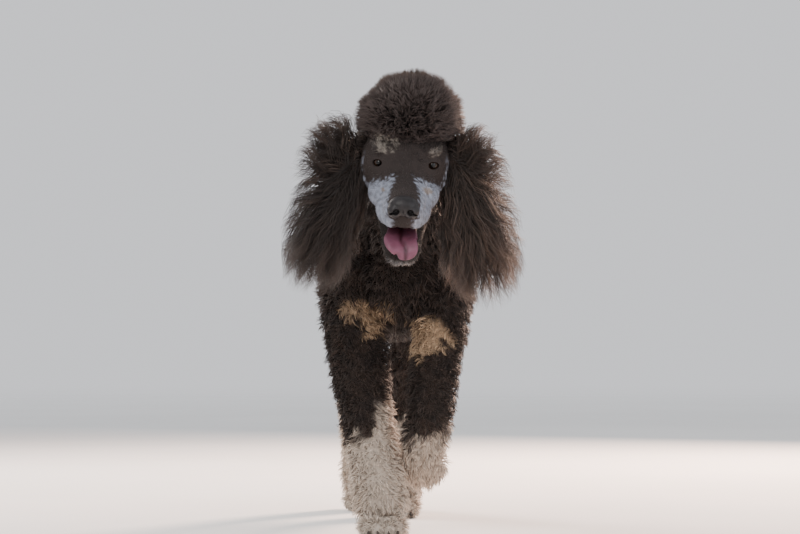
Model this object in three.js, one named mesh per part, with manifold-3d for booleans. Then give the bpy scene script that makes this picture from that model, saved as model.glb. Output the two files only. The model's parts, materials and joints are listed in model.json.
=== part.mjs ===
// A standard poodle, life size, caught in mid walk with its mouth open.
// Millimetres, +Z up. The dog faces -Y and its left side is +X.
import * as THREE from "three";
import { mergeVertices } from "three/addons/utils/BufferGeometryUtils.js";
import Module from "manifold-3d";

const wasm = await Module();
wasm.setup();
const { Manifold, Mesh: RawMesh } = wasm;

// Driving dimensions of the whole dog, coat included
const WITHERS = 548;
const CROUP = 540;
const RIB_HALF = 112;
const BRISKET = 268;
const BELLY = 330;
const LEG_COAT_R = 49;
const HIND_COAT_R = 46;
const GAP = 0.3;

// Coat: how far the clumps stand above the core of the coat, which lies half way to their tips
const BODY_RISE = 21;
const LEG_RISE = 17;
const CROWN_RISE = 30;

// Head: place of the point between the eyes, and how the head is held
const EYE_LINE = new THREE.Vector3(8, -470, 524);
const HEAD_PITCH = 20;
const HEAD_ROLL = 3;
const EYE_SPAN = 36.5;
const EYE_R = 11.5;
const MUZZLE = 122;
const JAW_OPEN = 20;

// Colours
const BLACK_COAT = { color: 0x1d1715, roughness: 0.85, metalness: 0 };
const CREAM_COAT = { color: 0xc9b08e, roughness: 0.9, metalness: 0 };
const GREY_FACE = { color: 0x8e8a88, roughness: 0.85, metalness: 0 };
const NOSE_LEATHER = { color: 0x141215, roughness: 0.45, metalness: 0 };
const TONGUE_SKIN = { color: 0xb5606e, roughness: 0.4, metalness: 0 };
const EYE_GLOSS = { color: 0x1c110b, roughness: 0.12, metalness: 0 };

const DEG = Math.PI / 180;
const V = (x, y, z) => new THREE.Vector3(x, y, z);

// Seeded random numbers, so that each build gives the same coat
function randomFrom(seed) {
  let state = seed;
  return () => {
    state = (state * 1664525 + 1013904223) % 4294967296;
    return state / 4294967296;
  };
}

// A three.js geometry as a closed solid
function solid(geometry) {
  const bare = geometry.clone();
  for (const name of Object.keys(bare.attributes)) {
    if (name !== "position") bare.deleteAttribute(name);
  }
  const merged = mergeVertices(bare, 1e-3);
  const kept = [];
  const index = merged.index.array;
  for (let i = 0; i < index.length; i += 3) {
    const [a, b, c] = [index[i], index[i + 1], index[i + 2]];
    if (a !== b && b !== c && c !== a) kept.push(a, b, c);
  }
  return new Manifold(
    new RawMesh({
      numProp: 3,
      vertProperties: new Float32Array(merged.attributes.position.array),
      triVerts: new Uint32Array(kept),
    }),
  );
}

// A solid as a three.js geometry
function geometryOf(made) {
  const mesh = made.getMesh();
  const points = new Float32Array(mesh.numVert * 3);
  for (let i = 0; i < mesh.numVert; i++) {
    points.set(mesh.vertProperties.subarray(i * mesh.numProp, i * mesh.numProp + 3), i * 3);
  }
  const geometry = new THREE.BufferGeometry();
  geometry.setAttribute("position", new THREE.BufferAttribute(points, 3));
  geometry.setIndex(new THREE.BufferAttribute(mesh.triVerts, 1));
  geometry.computeVertexNormals();
  return geometry;
}

const joined = (solids) => Manifold.union(solids);

// The largest closed body of a solid, with the scraps of a cut dropped
function largest(made) {
  const pieces = made.decompose();
  return pieces.reduce((best, piece) => (piece.volume() > best.volume() ? piece : best));
}

// A smooth closed body swept through stations of [x, y, z, half width, half depth].
// side is the direction of the width. keel narrows one side of the depth: above 0 the side of tangent x side.
class Limb {
  constructor(stations, { side = V(1, 0, 0), sides = 12, rings = 10, keel = 0, dome = 0.6 } = {}) {
    this.centres = new THREE.CatmullRomCurve3(stations.map((s) => V(s[0], s[1], s[2])), false, "catmullrom", 0.5);
    this.sizes = new THREE.CatmullRomCurve3(stations.map((s) => V(s[3], s[4], 0)), false, "catmullrom", 0.5);
    this.side = side;
    this.sides = sides;
    this.rings = rings;
    this.keel = keel;
    this.dome = dome;
  }

  // A point of the surface: t runs along the limb, turn round it, and beyond 0 or 1 t rounds off the end
  point(t, turn, grow) {
    const along = THREE.MathUtils.clamp(t, 0, 1);
    const over = t - along;
    const centre = this.centres.getPoint(along);
    const tangent = this.centres.getTangent(along);
    const third = new THREE.Vector3().crossVectors(tangent, this.side).normalize();
    const across = new THREE.Vector3().crossVectors(third, tangent).normalize();
    const size = this.sizes.getPoint(along);
    const angle = Math.min(1, Math.abs(over)) * (Math.PI / 2);
    const reach = Math.sin(angle) * (Math.min(size.x, size.y) * this.dome + grow) * Math.sign(over);
    const shrink = Math.cos(angle);
    const c = Math.cos(turn);
    const s = Math.sin(turn);
    const narrow = 1 - Math.max(0, this.keel * s) * Math.abs(s);
    return centre
      .addScaledVector(tangent, reach)
      .addScaledVector(across, (size.x * narrow + grow) * shrink * c)
      .addScaledVector(third, (size.y + grow) * shrink * s);
  }

  solid(grow = 0) {
    const stops = [-1, -0.55];
    for (let i = 0; i <= this.rings; i++) stops.push(i / this.rings);
    stops.push(1.55, 2);
    const points = [];
    const index = [];
    for (const t of stops) {
      for (let j = 0; j < this.sides; j++) points.push(...this.point(t, (j / this.sides) * 2 * Math.PI, grow));
    }
    for (let i = 0; i < stops.length - 1; i++) {
      for (let j = 0; j < this.sides; j++) {
        const a = i * this.sides + j;
        const b = i * this.sides + ((j + 1) % this.sides);
        index.push(a, b, a + this.sides, b, b + this.sides, a + this.sides);
      }
    }
    const geometry = new THREE.BufferGeometry();
    geometry.setAttribute("position", new THREE.Float32BufferAttribute(points, 3));
    geometry.setIndex(index);
    const made = solid(geometry);
    if (made.volume() > 0) return made;
    for (let i = 0; i < index.length; i += 3) [index[i], index[i + 1]] = [index[i + 1], index[i]];
    geometry.setIndex(index);
    return solid(geometry);
  }
}

// An ellipsoid with its own turn
function ball(at, radii, turn = new THREE.Quaternion(), grow = 0, sides = 10, rings = 6) {
  const geometry = new THREE.SphereGeometry(1, sides, rings);
  geometry.scale(radii[0] + grow, radii[1] + grow, radii[2] + grow);
  geometry.applyQuaternion(turn);
  geometry.translate(at.x, at.y, at.z);
  return solid(geometry);
}

// A box with its own turn, for cutting
function block(at, size, turn = new THREE.Quaternion(), grow = 0) {
  const geometry = new THREE.BoxGeometry(size[0] + 2 * grow, size[1] + 2 * grow, size[2] + 2 * grow);
  geometry.applyQuaternion(turn);
  geometry.translate(at.x, at.y, at.z);
  return solid(geometry);
}

// The head's own frame: s to the dog's left, f forward along the muzzle, u up, from the point between the eyes
const headTurn = new THREE.Quaternion()
  .setFromAxisAngle(V(0, 1, 0), HEAD_ROLL * DEG)
  .multiply(new THREE.Quaternion().setFromAxisAngle(V(1, 0, 0), HEAD_PITCH * DEG));
const onHead = (s, f, u) => V(s, -f, u).applyQuaternion(headTurn).add(EYE_LINE);
const headSide = V(1, 0, 0).applyQuaternion(headTurn);

const headStations = (rows) => rows.map(([s, f, u, wide, deep]) => [...onHead(s, f, u), wide, deep]);

// A half space as a huge block: all that lies on the side the normal points to
function beyond(at, normal, grow = 0) {
  const side = 1600;
  const turn = new THREE.Quaternion().setFromUnitVectors(V(0, 0, 1), normal.clone().normalize());
  const centre = at.clone().addScaledVector(normal.clone().normalize(), side / 2 - grow);
  return block(centre, [side, side, side], turn);
}

// A block given by its lowest and highest corner
function between(low, high, grow = 0) {
  const centre = low.clone().add(high).multiplyScalar(0.5);
  return block(centre, high.clone().sub(low).toArray(), undefined, grow);
}

// Torso, from the forechest to the rump
const torso = new Limb(
  [
    [4, -236, 372, 62, 64],
    [3, -190, 388, 88, 98],
    [-6, -110, (WITHERS + BRISKET) / 2, RIB_HALF - 14, (WITHERS - BRISKET) / 2 - 14],
    [-19, -10, 407, RIB_HALF - 12, 118],
    [-24, 80, (CROUP + BELLY) / 2 - 12, 96, 102],
    [-28, 165, (CROUP + BELLY) / 2, 84, 88],
    [-30, 235, 446, 80, 78],
    [-30, 282, 452, 62, 60],
  ],
  { sides: 11, rings: 7, keel: 0.22 },
);

const neck = new Limb(
  [
    [4, -130, 448, 76, 92],
    [6, -225, 470, 66, 88],
    [8, -305, 510, 54, 70],
    [10, -380, 552, 46, 58],
    [12, -420, 574, 42, 52],
  ],
  { sides: 12, rings: 5 },
);

// Forelegs: the right one is planted, the left one swings with its wrist bent
const foreRight = new Limb(
  [
    [-46, -140, 462, 36, 56],
    [-72, -185, 400, 40, 66],
    [-72, -190, 330, 42, 58],
    [-62, -196, 270, 43, 46],
    [-56, -208, 220, LEG_COAT_R - 8, LEG_COAT_R - 10],
    [-44, -224, 150, LEG_COAT_R - 12, LEG_COAT_R - 12],
    [-32, -238, 80, LEG_COAT_R - 10, LEG_COAT_R - 10],
    [-25, -246, 36, LEG_COAT_R - 12, LEG_COAT_R - 10],
  ],
  { sides: 8, rings: 7, dome: 0.4 },
);

const foreLeft = new Limb(
  [
    [46, -140, 458, 34, 54],
    [66, -186, 398, 38, 64],
    [64, -206, 334, 38, 54],
    [57, -222, 280, 37, 42],
    [49, -240, 230, 35, 36],
    [43, -258, 178, 33, 34],
    [36, -246, 136, 32, 28],
    [31, -228, 112, 29, 22],
  ],
  { sides: 8, rings: 8, dome: 0.5 },
);

// Hind legs: the right one is stretched back, the left one is forward under the belly
const hindRight = new Limb(
  [
    [-62, 212, 460, 34, 56],
    [-80, 206, 395, 38, 70],
    [-80, 198, 325, 40, 58],
    [-72, 236, 252, 38, 44],
    [-65, 300, 186, HIND_COAT_R - 10, HIND_COAT_R - 8],
    [-62, 322, 130, HIND_COAT_R - 11, HIND_COAT_R - 10],
    [-60, 324, 76, HIND_COAT_R - 10, HIND_COAT_R - 10],
    [-58, 318, 36, HIND_COAT_R - 10, HIND_COAT_R - 8],
  ],
  { sides: 8, rings: 8, dome: 0.4 },
);

const hindLeft = new Limb(
  [
    [6, 205, 460, 34, 56],
    [26, 176, 395, 38, 70],
    [28, 138, 322, 40, 58],
    [20, 160, 252, 38, 44],
    [8, 212, 188, HIND_COAT_R - 10, HIND_COAT_R - 8],
    [3, 206, 132, HIND_COAT_R - 11, HIND_COAT_R - 10],
    [0, 178, 76, HIND_COAT_R - 10, HIND_COAT_R - 10],
    [-2, 158, 36, HIND_COAT_R - 10, HIND_COAT_R - 8],
  ],
  { sides: 8, rings: 8, dome: 0.4 },
);

// Tail with its pom
const tailStem = new Limb(
  [
    [-30, 270, 500, 26, 26],
    [-29, 310, 530, 20, 20],
    [-27, 350, 570, 17, 17],
    [-25, 385, 612, 17, 17],
  ],
  { sides: 10, rings: 5 },
);
const POM_AT = V(-24, 392, 620);
const POM_R = 55;

// A clump of curls: a rounded ball of facets, one of them outwards, set along the coat's lie with most of it
// sunk in the core
const BALL_FACE = V(1, 1, 1).normalize();
const BALL_INNER = 0.795;
function clump({ at, normal, zone, vary }, grow) {
  const up = normal.clone().addScaledVector(zone.lie, 0.25).normalize();
  const rise = zone.rise * (0.88 + 0.24 * vary);
  const wide = zone.wide * (0.92 + 0.16 * vary);
  const geometry = new THREE.IcosahedronGeometry(1, 0);
  geometry.applyQuaternion(new THREE.Quaternion().setFromUnitVectors(BALL_FACE, V(0, 1, 0)));
  geometry.rotateY(vary * 2 * Math.PI);
  geometry.scale(wide + grow, zone.high + grow, wide + grow);
  geometry.applyQuaternion(new THREE.Quaternion().setFromUnitVectors(V(0, 1, 0), up));
  const centre = at.clone().addScaledVector(up, rise - zone.high * BALL_INNER);
  geometry.translate(centre.x, centre.y, centre.z);
  return solid(geometry);
}

// Evenly spread roots on a core: random points thinned to the zone's spacing, then drawn to the middle of
// the ground that each one covers
const SAMPLES = 3000;
const DRAWS = 5;
function spread(core, zoneOf, seed) {
  const random = randomFrom(seed);
  const geometry = geometryOf(core);
  const index = geometry.index.array;
  const faces = [];
  let area = 0;
  for (let i = 0; i < index.length; i += 3) {
    const corners = [0, 1, 2].map((k) => new THREE.Vector3().fromBufferAttribute(geometry.attributes.position, index[i + k]));
    const triangle = new THREE.Triangle(...corners);
    area += triangle.getArea();
    faces.push({ triangle, upTo: area });
  }
  const ground = [];
  for (let n = 0; n < SAMPLES; n++) {
    const pick = random() * area;
    const { triangle } = faces.find((face) => face.upTo >= pick) ?? faces[0];
    let [u, v] = [random(), random()];
    if (u + v > 1) [u, v] = [1 - u, 1 - v];
    const at = triangle.a
      .clone()
      .addScaledVector(triangle.b.clone().sub(triangle.a), u)
      .addScaledVector(triangle.c.clone().sub(triangle.a), v);
    const zone = zoneOf(at);
    if (zone) ground.push({ at, normal: triangle.getNormal(new THREE.Vector3()), zone, vary: random() });
  }
  let roots = [];
  for (const point of ground) {
    if (roots.every((r) => r.at.distanceTo(point.at) > (r.zone.apart + point.zone.apart) / 2)) roots.push(point);
  }
  const nearest = (list, at) => list.reduce((best, r) => (r.at.distanceTo(at) < best.at.distanceTo(at) ? r : best));
  for (let n = 0; n < DRAWS; n++) {
    const shares = new Map(roots.map((root) => [root, []]));
    for (const point of ground) shares.get(nearest(roots, point.at)).push(point);
    roots = roots.map((root) => {
      const share = shares.get(root);
      const middle = share.reduce((sum, point) => sum.add(point.at), V(0, 0, 0)).divideScalar(share.length);
      return nearest(share, middle);
    });
  }
  return roots;
}

const TRUNK_ZONE = { apart: 79, wide: 58, high: 48, rise: BODY_RISE, lie: V(0, 0.6, -0.8) };
const NECK_ZONE = { apart: 70, wide: 51, high: 44, rise: BODY_RISE, lie: V(0, 0.3, -0.9) };
const LEG_ZONE = { apart: 59, wide: 41, high: 34, rise: LEG_RISE, lie: V(0, 0, -1) };
const POM_ZONE = { apart: 46, wide: 34, high: 32, rise: 18, lie: V(0, 0, 0) };
const CROWN_ZONE = { apart: 40, wide: 30, high: 34, rise: CROWN_RISE, lie: V(0, 0.3, 0) };
const LEG_COAT_FOOT = 56;

// A paw: toes with their claws, and a flat sole under them. toe is the way it points, up its upper side.
const TOES = [
  { aside: -21, ahead: 16 },
  { aside: -8, ahead: 27 },
  { aside: 8, ahead: 27 },
  { aside: 21, ahead: 16 },
];
const TOE_R = 12;
const CLAW_DROP = 32;
function paw(at, toe, up, grow) {
  const side = new THREE.Vector3().crossVectors(toe, up).normalize();
  const turn = new THREE.Quaternion().setFromRotationMatrix(new THREE.Matrix4().makeBasis(side, toe, up));
  const place = (s, f, u) => at.clone().addScaledVector(side, s).addScaledVector(toe, f).addScaledVector(up, u);
  const parts = [ball(place(0, 0, 16), [31, 30, 20], turn, grow, 8, 5)];
  for (const { aside, ahead } of TOES) {
    parts.push(ball(place(aside, ahead, 12), [TOE_R, 20, 14], turn, grow, 6, 4));
    const claw = new THREE.ConeGeometry(4.2 + grow, 18 + 2 * grow, 4, 1);
    claw.rotateX(-CLAW_DROP * DEG);
    claw.applyQuaternion(turn);
    const tip = place(aside, ahead + 22, 11);
    claw.translate(tip.x, tip.y, tip.z);
    parts.push(solid(claw));
  }
  return joined(parts);
}

const FORE = V(0, -1, 0);
const UP = V(0, 0, 1);
const LIFTED_TOE = V(0, 0.62, -0.78).normalize();
const LIFTED_UP = V(0, -0.78, -0.62).normalize();

// Cut levels of the legs
const PAW_TOP = 33;
const SHIN_TOP = 222;
const ELBOW_TOP = 296;
const THIGH_TOP = 412;
const LIFTED_CUT = V(34, -240, 124);
const LIFTED_DOWN = V(0, 0.35, -0.94).normalize();

const LEGS = {
  fore_right: { limb: foreRight, pawAt: V(-24, -262, 0), toe: FORE, up: UP },
  fore_left: { limb: foreLeft, pawAt: V(32, -212, 118), toe: LIFTED_TOE, up: LIFTED_UP },
  hind_right: { limb: hindRight, pawAt: V(-57, 304, 0), toe: FORE, up: UP },
  hind_left: { limb: hindLeft, pawAt: V(-3, 144, 0), toe: FORE, up: UP },
};
const above = (z, grow = 0) => beyond(V(0, 0, z), UP, grow);
const below = (z, grow = 0) => beyond(V(0, 0, z), V(0, 0, -1), grow);

const trunkCore = (grow) => joined([torso.solid(grow - 6), neck.solid(grow - 6)]);
const pomCore = (grow) => ball(POM_AT, [POM_R - 18, POM_R - 18, POM_R - 18], undefined, grow, 7, 5);

// Roots of the clumps, on the trunk, the legs and the tail's pom
const bareTrunk = trunkCore(0);
const trunkRoots = spread(bareTrunk, (at) => (at.y < -230 ? NECK_ZONE : TRUNK_ZONE), 13);
for (const [name, leg] of Object.entries(LEGS)) {
  const bare = leg.limb.solid(-5).subtract(torso.solid(14));
  const foot = name === "fore_left" ? 122 : LEG_COAT_FOOT;
  leg.roots = spread(bare, (at) => (at.z > foot ? LEG_ZONE : null), 31 + name.length);
}
const pomRoots = spread(pomCore(0), () => POM_ZONE, 5);
const coat = (roots, grow) => roots.map((root) => clump(root, grow));

function legSolid({ limb, pawAt, toe, up, roots }, grow) {
  return joined([limb.solid(grow - 5), ...coat(roots, grow), paw(pawAt, toe, up, grow)]).intersect(above(0, grow));
}

// Head: skull and upper jaw in one sweep, with brows, cheeks and lids set on it
const skull = new Limb(
  headStations([
    [0, -128, -12, 40, 40],
    [0, -95, -4, 50, 50],
    [0, -55, -2, 53, 52],
    [0, -22, -7, 49, 46],
    [0, 4, -18, 39, 34],
    [0, 30, -28, 33, 27],
    [0, 65, -31, 30, 26],
    [0, 98, -34, 27.5, 24.5],
    [0, 110, -35, 25, 22],
  ]),
  { side: headSide, sides: 12, rings: 10, dome: 0.5 },
);
const eyeAt = (side) => onHead(side * (EYE_SPAN - 1.5), -5, 0);
const eyeLook = (side) => V(side * 0.42, -0.9, 0.06).normalize().applyQuaternion(headTurn);
const NOSE_AT = onHead(0, 117, -26);

function headSolid(grow) {
  return joined([
    skull.solid(grow),
    ...[-1, 1].flatMap((side) => [
      ball(eyeAt(side), [EYE_R + 2.6, EYE_R + 2.6, EYE_R + 2.6], undefined, grow, 9, 7),
      ball(onHead(side * 29, -12, 17), [19, 20, 11], headTurn, grow, 7, 5),
      ball(onHead(side * 36, -38, -24), [20, 32, 24], headTurn, grow, 7, 5),
      ball(onHead(side * 24, 18, -40), [19, 44, 19], headTurn, grow, 7, 5),
      ball(onHead(side * 17, 64, -46), [17, 36, 16], headTurn, grow, 7, 5),
    ]),
  ]);
}

// Palate: the hollow between the upper lips
const palate = (grow) => ball(onHead(0, 46, -64), [21, 58, 15], headTurn, grow, 10, 6);

// The gap between the lids, an almond set along the line of the eye
function lidGap(side) {
  const look = eyeLook(side);
  const across = new THREE.Vector3().crossVectors(V(0, 0, 1).applyQuaternion(headTurn), look).normalize();
  const up = new THREE.Vector3().crossVectors(look, across).normalize();
  const turn = new THREE.Quaternion().setFromRotationMatrix(new THREE.Matrix4().makeBasis(across, up, look));
  return ball(eyeAt(side).addScaledVector(look, EYE_R), [10, 6.4, 9], turn, 0, 10, 6);
}

const NOSE_RADII = [20.5, 14, 15.5];
const noseBody = (grow) =>
  joined([
    ball(NOSE_AT, NOSE_RADII, headTurn, grow, 9, 7),
    ball(onHead(11, 119, -29), [10.5, 12, 11], headTurn, grow, 7, 5),
    ball(onHead(-11, 119, -29), [10.5, 12, 11], headTurn, grow, 7, 5),
  ]);
const nostril = (side) => ball(onHead(side * 9, 133, -28), [5, 9, 4], headTurn, 0, 6, 5);

// Lower jaw, dropped about its joint below the ear
const JAW_JOINT = { f: -55, u: -35 };
function dropped(f, u) {
  const a = JAW_OPEN * DEG;
  const df = f - JAW_JOINT.f;
  const du = u - JAW_JOINT.u;
  return [JAW_JOINT.f + df * Math.cos(a) + du * Math.sin(a), JAW_JOINT.u - df * Math.sin(a) + du * Math.cos(a)];
}
const jawTurn = headTurn.clone().multiply(new THREE.Quaternion().setFromAxisAngle(V(1, 0, 0), JAW_OPEN * DEG));
const onJaw = (s, f, u) => onHead(s, ...dropped(f, u));
const jawRow = (f, u, wide, deep) => [...onJaw(0, f, u), wide, deep];
const jawSweep = new Limb(
  [
    jawRow(-46, -52, 40, 24),
    jawRow(-10, -58, 38, 22),
    jawRow(28, -62, 31, 18),
    jawRow(62, -64, 25, 16),
    jawRow(84, -63, 21, 14),
  ],
  { side: headSide, sides: 10, rings: 4, dome: 0.6 },
);
const trough = (grow) => ball(onJaw(0, 40, -46), [16, 46, 11], jawTurn, grow, 8, 6);

// Lower teeth: cutters between two fangs, then a cheek tooth on each side
const TEETH = [
  { aside: 3, ahead: 92, r: 2.6, high: 6 },
  { aside: 8, ahead: 90, r: 2.8, high: 6.5 },
  { aside: 14, ahead: 84, r: 4, high: 14 },
  { aside: 18, ahead: 66, r: 3.8, high: 7 },
];
function tooth(side, { aside, ahead, r, high }) {
  const foot = -53;
  const root = 8;
  const cone = new THREE.CylinderGeometry(r * 0.25, r, high + root, 5, 1);
  cone.rotateX(Math.PI / 2);
  cone.applyQuaternion(jawTurn);
  const at = onJaw(side * aside, ahead, foot + (high - root) / 2);
  cone.translate(at.x, at.y, at.z);
  return solid(cone);
}
const teeth = [-1, 1].flatMap((side) => TEETH.map((t) => tooth(side, t)));

const tongueSweep = new Limb(
  [
    [...onHead(0, 6, -66), 16, 6],
    [...onHead(0, 40, -73), 19, 5.5],
    [...onHead(0, 74, -80), 21, 5],
    [...onHead(0, 96, -88), 20, 4.6],
    [...onHead(0, 106, -99), 15, 4],
  ],
  { side: headSide, sides: 8, rings: 6, dome: 1 },
);
const tongueGroove = new Limb(
  [
    [...onHead(0, 30, -65), 1.6, 2],
    [...onHead(0, 74, -74), 1.8, 2],
    [...onHead(0, 98, -84), 1.4, 1.8],
  ],
  { side: headSide, sides: 6, rings: 4 },
);

// Topknot: a clipped dome on a plane that runs from the brow to the nape
const CROWN_AT = onHead(0, -58, 45);
const CROWN_RADII = [74, 78, 70];
const CROWN_CUT = onHead(0, 10, 30);
const CROWN_UP = V(0, 0.2, 1).applyQuaternion(headTurn).normalize();

// The plane where the neck meets the head
const NECK_CUT = V(0, -376, 545);
const NECK_AXIS = V(0, -0.903, 0.429).normalize();

// A flat lock of long hair along a bent path. flat is the way its thin side faces.
function lock(path, wide, thick, flat, grow) {
  const curve = new THREE.CatmullRomCurve3(path, false, "catmullrom", 0.5);
  const rings = [
    { t: 0, size: 0.7 },
    { t: 0.4, size: 1 },
    { t: 0.78, size: 0.8 },
  ];
  const points = [];
  for (const { t, size } of rings) {
    const centre = curve.getPoint(t);
    const across = new THREE.Vector3().crossVectors(curve.getTangent(t), flat).normalize();
    const reach = wide * size + grow;
    const depth = thick * size + grow;
    points.push(...centre.clone().addScaledVector(across, reach));
    points.push(...centre.clone().addScaledVector(flat, depth));
    points.push(...centre.clone().addScaledVector(across, -reach));
    points.push(...centre.clone().addScaledVector(flat, -depth));
  }
  points.push(...curve.getPoint(0).addScaledVector(curve.getTangent(0), -grow - 1));
  points.push(...curve.getPoint(1).addScaledVector(curve.getTangent(1), grow));
  const root = rings.length * 4;
  const tip = root + 1;
  const index = [];
  for (let j = 0; j < 4; j++) {
    const next = (j + 1) % 4;
    index.push(root, next, j, tip, root - 4 + j, root - 4 + next);
    for (let i = 0; i < root - 4; i += 4) index.push(i + j, i + next, i + 4 + j, i + next, i + 4 + next, i + 4 + j);
  }
  const geometry = new THREE.BufferGeometry();
  geometry.setAttribute("position", new THREE.Float32BufferAttribute(points, 3));
  geometry.setIndex(index);
  const made = solid(geometry);
  if (made.volume() > 0) return made;
  for (let i = 0; i < index.length; i += 3) [index[i], index[i + 1]] = [index[i + 1], index[i]];
  geometry.setIndex(index);
  return solid(geometry);
}

// Ears, flung outwards by the walk. The long hair fans out from a cupped flap, in three layers.
const EARS = {
  ear_right: { side: -1, root: V(-44, -418, 548), fan: V(-103, -425, 474), wide: 50, high: 114, lean: -9, seed: 31 },
  ear_left: { side: 1, root: V(66, -418, 546), fan: V(105, -425, 458), wide: 56, high: 116, lean: 7, seed: 22 },
};
const EAR_LAYERS = [
  { depth: -20, first: 88, last: -116, count: 5 },
  { depth: 2, first: 84, last: -104, count: 5 },
  { depth: 22, first: 70, last: -112, count: 5 },
];
const LOCK_WIDE = 24;
const LOCK_THICK = 5.5;
const FLAP_THICK = 9;

function earLocks({ side, root, fan, wide, high, lean, seed }, grow) {
  const random = randomFrom(seed);
  const turn = new THREE.Quaternion().setFromAxisAngle(V(0, 1, 0), -lean * DEG);
  const locks = [];
  for (const { depth, first, last, count } of EAR_LAYERS) {
    for (let i = 0; i < count; i++) {
      const angle = THREE.MathUtils.lerp(first, last, (i + 0.6 * random()) / count) * DEG;
      const reach = 0.9 + 0.1 * random();
      const tip = V(side * wide * reach * Math.cos(angle), depth + 8 * (random() - 0.5), high * reach * Math.sin(angle));
      tip.applyQuaternion(turn).add(fan);
      const start = root.clone().lerp(fan, 0.55).lerp(tip, 0.1);
      start.y = root.y + depth * 0.3;
      const along = tip.clone().sub(start);
      const wave = V(-along.z, 0, along.x).normalize().multiplyScalar((random() - 0.5) * 26);
      const lift = V(0, 0, 10);
      const path = [
        start,
        start.clone().lerp(tip, 0.36).add(wave).add(lift),
        start.clone().lerp(tip, 0.7).addScaledVector(wave, -0.7).addScaledVector(lift, 0.4),
        tip,
      ];
      locks.push(lock(path, LOCK_WIDE * (0.85 + 0.3 * random()), LOCK_THICK, V(0, 1, 0), grow));
    }
  }
  return locks;
}

function ear(sizes, grow) {
  const { root, fan, wide, high, lean } = sizes;
  const turn = new THREE.Quaternion().setFromAxisAngle(V(0, 1, 0), -lean * DEG);
  const middle = root.clone().lerp(fan, 0.7);
  const flap = ball(middle, [wide * 0.62, FLAP_THICK, high * 0.5], turn, grow, 12, 8);
  const cup = ball(middle.clone().add(V(0, FLAP_THICK + 3, 0)), [wide * 0.46, FLAP_THICK, high * 0.36], turn, -grow, 10, 6);
  const base = new Limb(
    [
      [root.x - sizes.side * 14, root.y, root.z, 22, 12],
      [root.x, root.y, root.z, 26, 12],
      [...root.clone().lerp(fan, 0.4), 28, 10],
    ],
    { side: V(0, 0, 1), sides: 8, rings: 2 },
  );
  return joined([flap.subtract(cup), base.solid(grow), ...earLocks(sizes, grow)]);
}

// Nodes, cut from each other with a gap all round
const dog = new THREE.Group();
function add(name, made, finish) {
  const mesh = new THREE.Mesh(geometryOf(largest(made)), new THREE.MeshStandardMaterial(finish));
  mesh.name = name;
  dog.add(mesh);
}

const aboveCrownCut = (grow) => beyond(CROWN_CUT, CROWN_UP, grow);
const beforeNeck = (grow) => beyond(NECK_CUT, NECK_AXIS, grow);
const crownCore = (grow) =>
  ball(CROWN_AT, CROWN_RADII.map((r) => r - CROWN_RISE), headTurn, grow, 12, 8);
const crownEdge = CROWN_UP.dot(CROWN_CUT) - 12;
const crownRoots = spread(crownCore(0), (at) => (at.dot(CROWN_UP) > crownEdge ? CROWN_ZONE : null), 3);
const crown = (grow) => joined([crownCore(grow), ...coat(crownRoots, grow)]).intersect(aboveCrownCut(grow));

const headCut = headSolid(0)
  .subtract(aboveCrownCut(GAP))
  .intersect(beforeNeck(0))
  .subtract(palate(0))
  .subtract(noseBody(GAP))
  .subtract(ball(eyeAt(1), [EYE_R + GAP, EYE_R + GAP, EYE_R + GAP], undefined, 0, 12, 9))
  .subtract(ball(eyeAt(-1), [EYE_R + GAP, EYE_R + GAP, EYE_R + GAP], undefined, 0, 12, 9))
  .subtract(lidGap(1))
  .subtract(lidGap(-1));
add("head", headCut, GREY_FACE);
const headGrown = headSolid(GAP).subtract(palate(-GAP));

add("topknot", crown(0), BLACK_COAT);
add("nose", noseBody(0).subtract(nostril(1)).subtract(nostril(-1)), NOSE_LEATHER);
for (const [name, side] of [["eye_left", 1], ["eye_right", -1]]) {
  add(name, ball(eyeAt(side), [EYE_R, EYE_R, EYE_R], undefined, 0, 12, 9), EYE_GLOSS);
}
const jawBody = (grow) => joined([jawSweep.solid(grow)]);
add(
  "lower_jaw",
  joined([jawBody(0).subtract(trough(0)), ...teeth])
    .subtract(tongueSweep.solid(GAP))
    .subtract(headGrown)
    .intersect(beforeNeck(0)),
  CREAM_COAT,
);
add("tongue", tongueSweep.solid(0).subtract(tongueGroove.solid(0)).subtract(headGrown), TONGUE_SKIN);

// Legs below the elbow and the knee, each cut from its own solid
const legs = Object.fromEntries(Object.entries(LEGS).map(([name, leg]) => [name, legSolid(leg, 0)]));
legs.fore_left = legs.fore_left.subtract(legSolid(LEGS.fore_right, GAP).intersect(below(SHIN_TOP, GAP)));
for (const name of ["fore_right", "hind_right", "hind_left"]) {
  const [end, side] = name.split("_");
  const leg = legs[name].intersect(below(SHIN_TOP, -GAP));
  add(`${end === "fore" ? "forepaw" : "hindpaw"}_${side}`, leg.intersect(below(PAW_TOP)), CREAM_COAT);
  add(`${end}leg_lower_${side}`, leg.intersect(above(PAW_TOP, -GAP)), CREAM_COAT);
}
const swung = legs.fore_left.intersect(below(SHIN_TOP, -GAP));
add("forepaw_left", swung.intersect(beyond(LIFTED_CUT, LIFTED_DOWN)), CREAM_COAT);
add("foreleg_lower_left", swung.subtract(beyond(LIFTED_CUT, LIFTED_DOWN, GAP)), CREAM_COAT);

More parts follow.
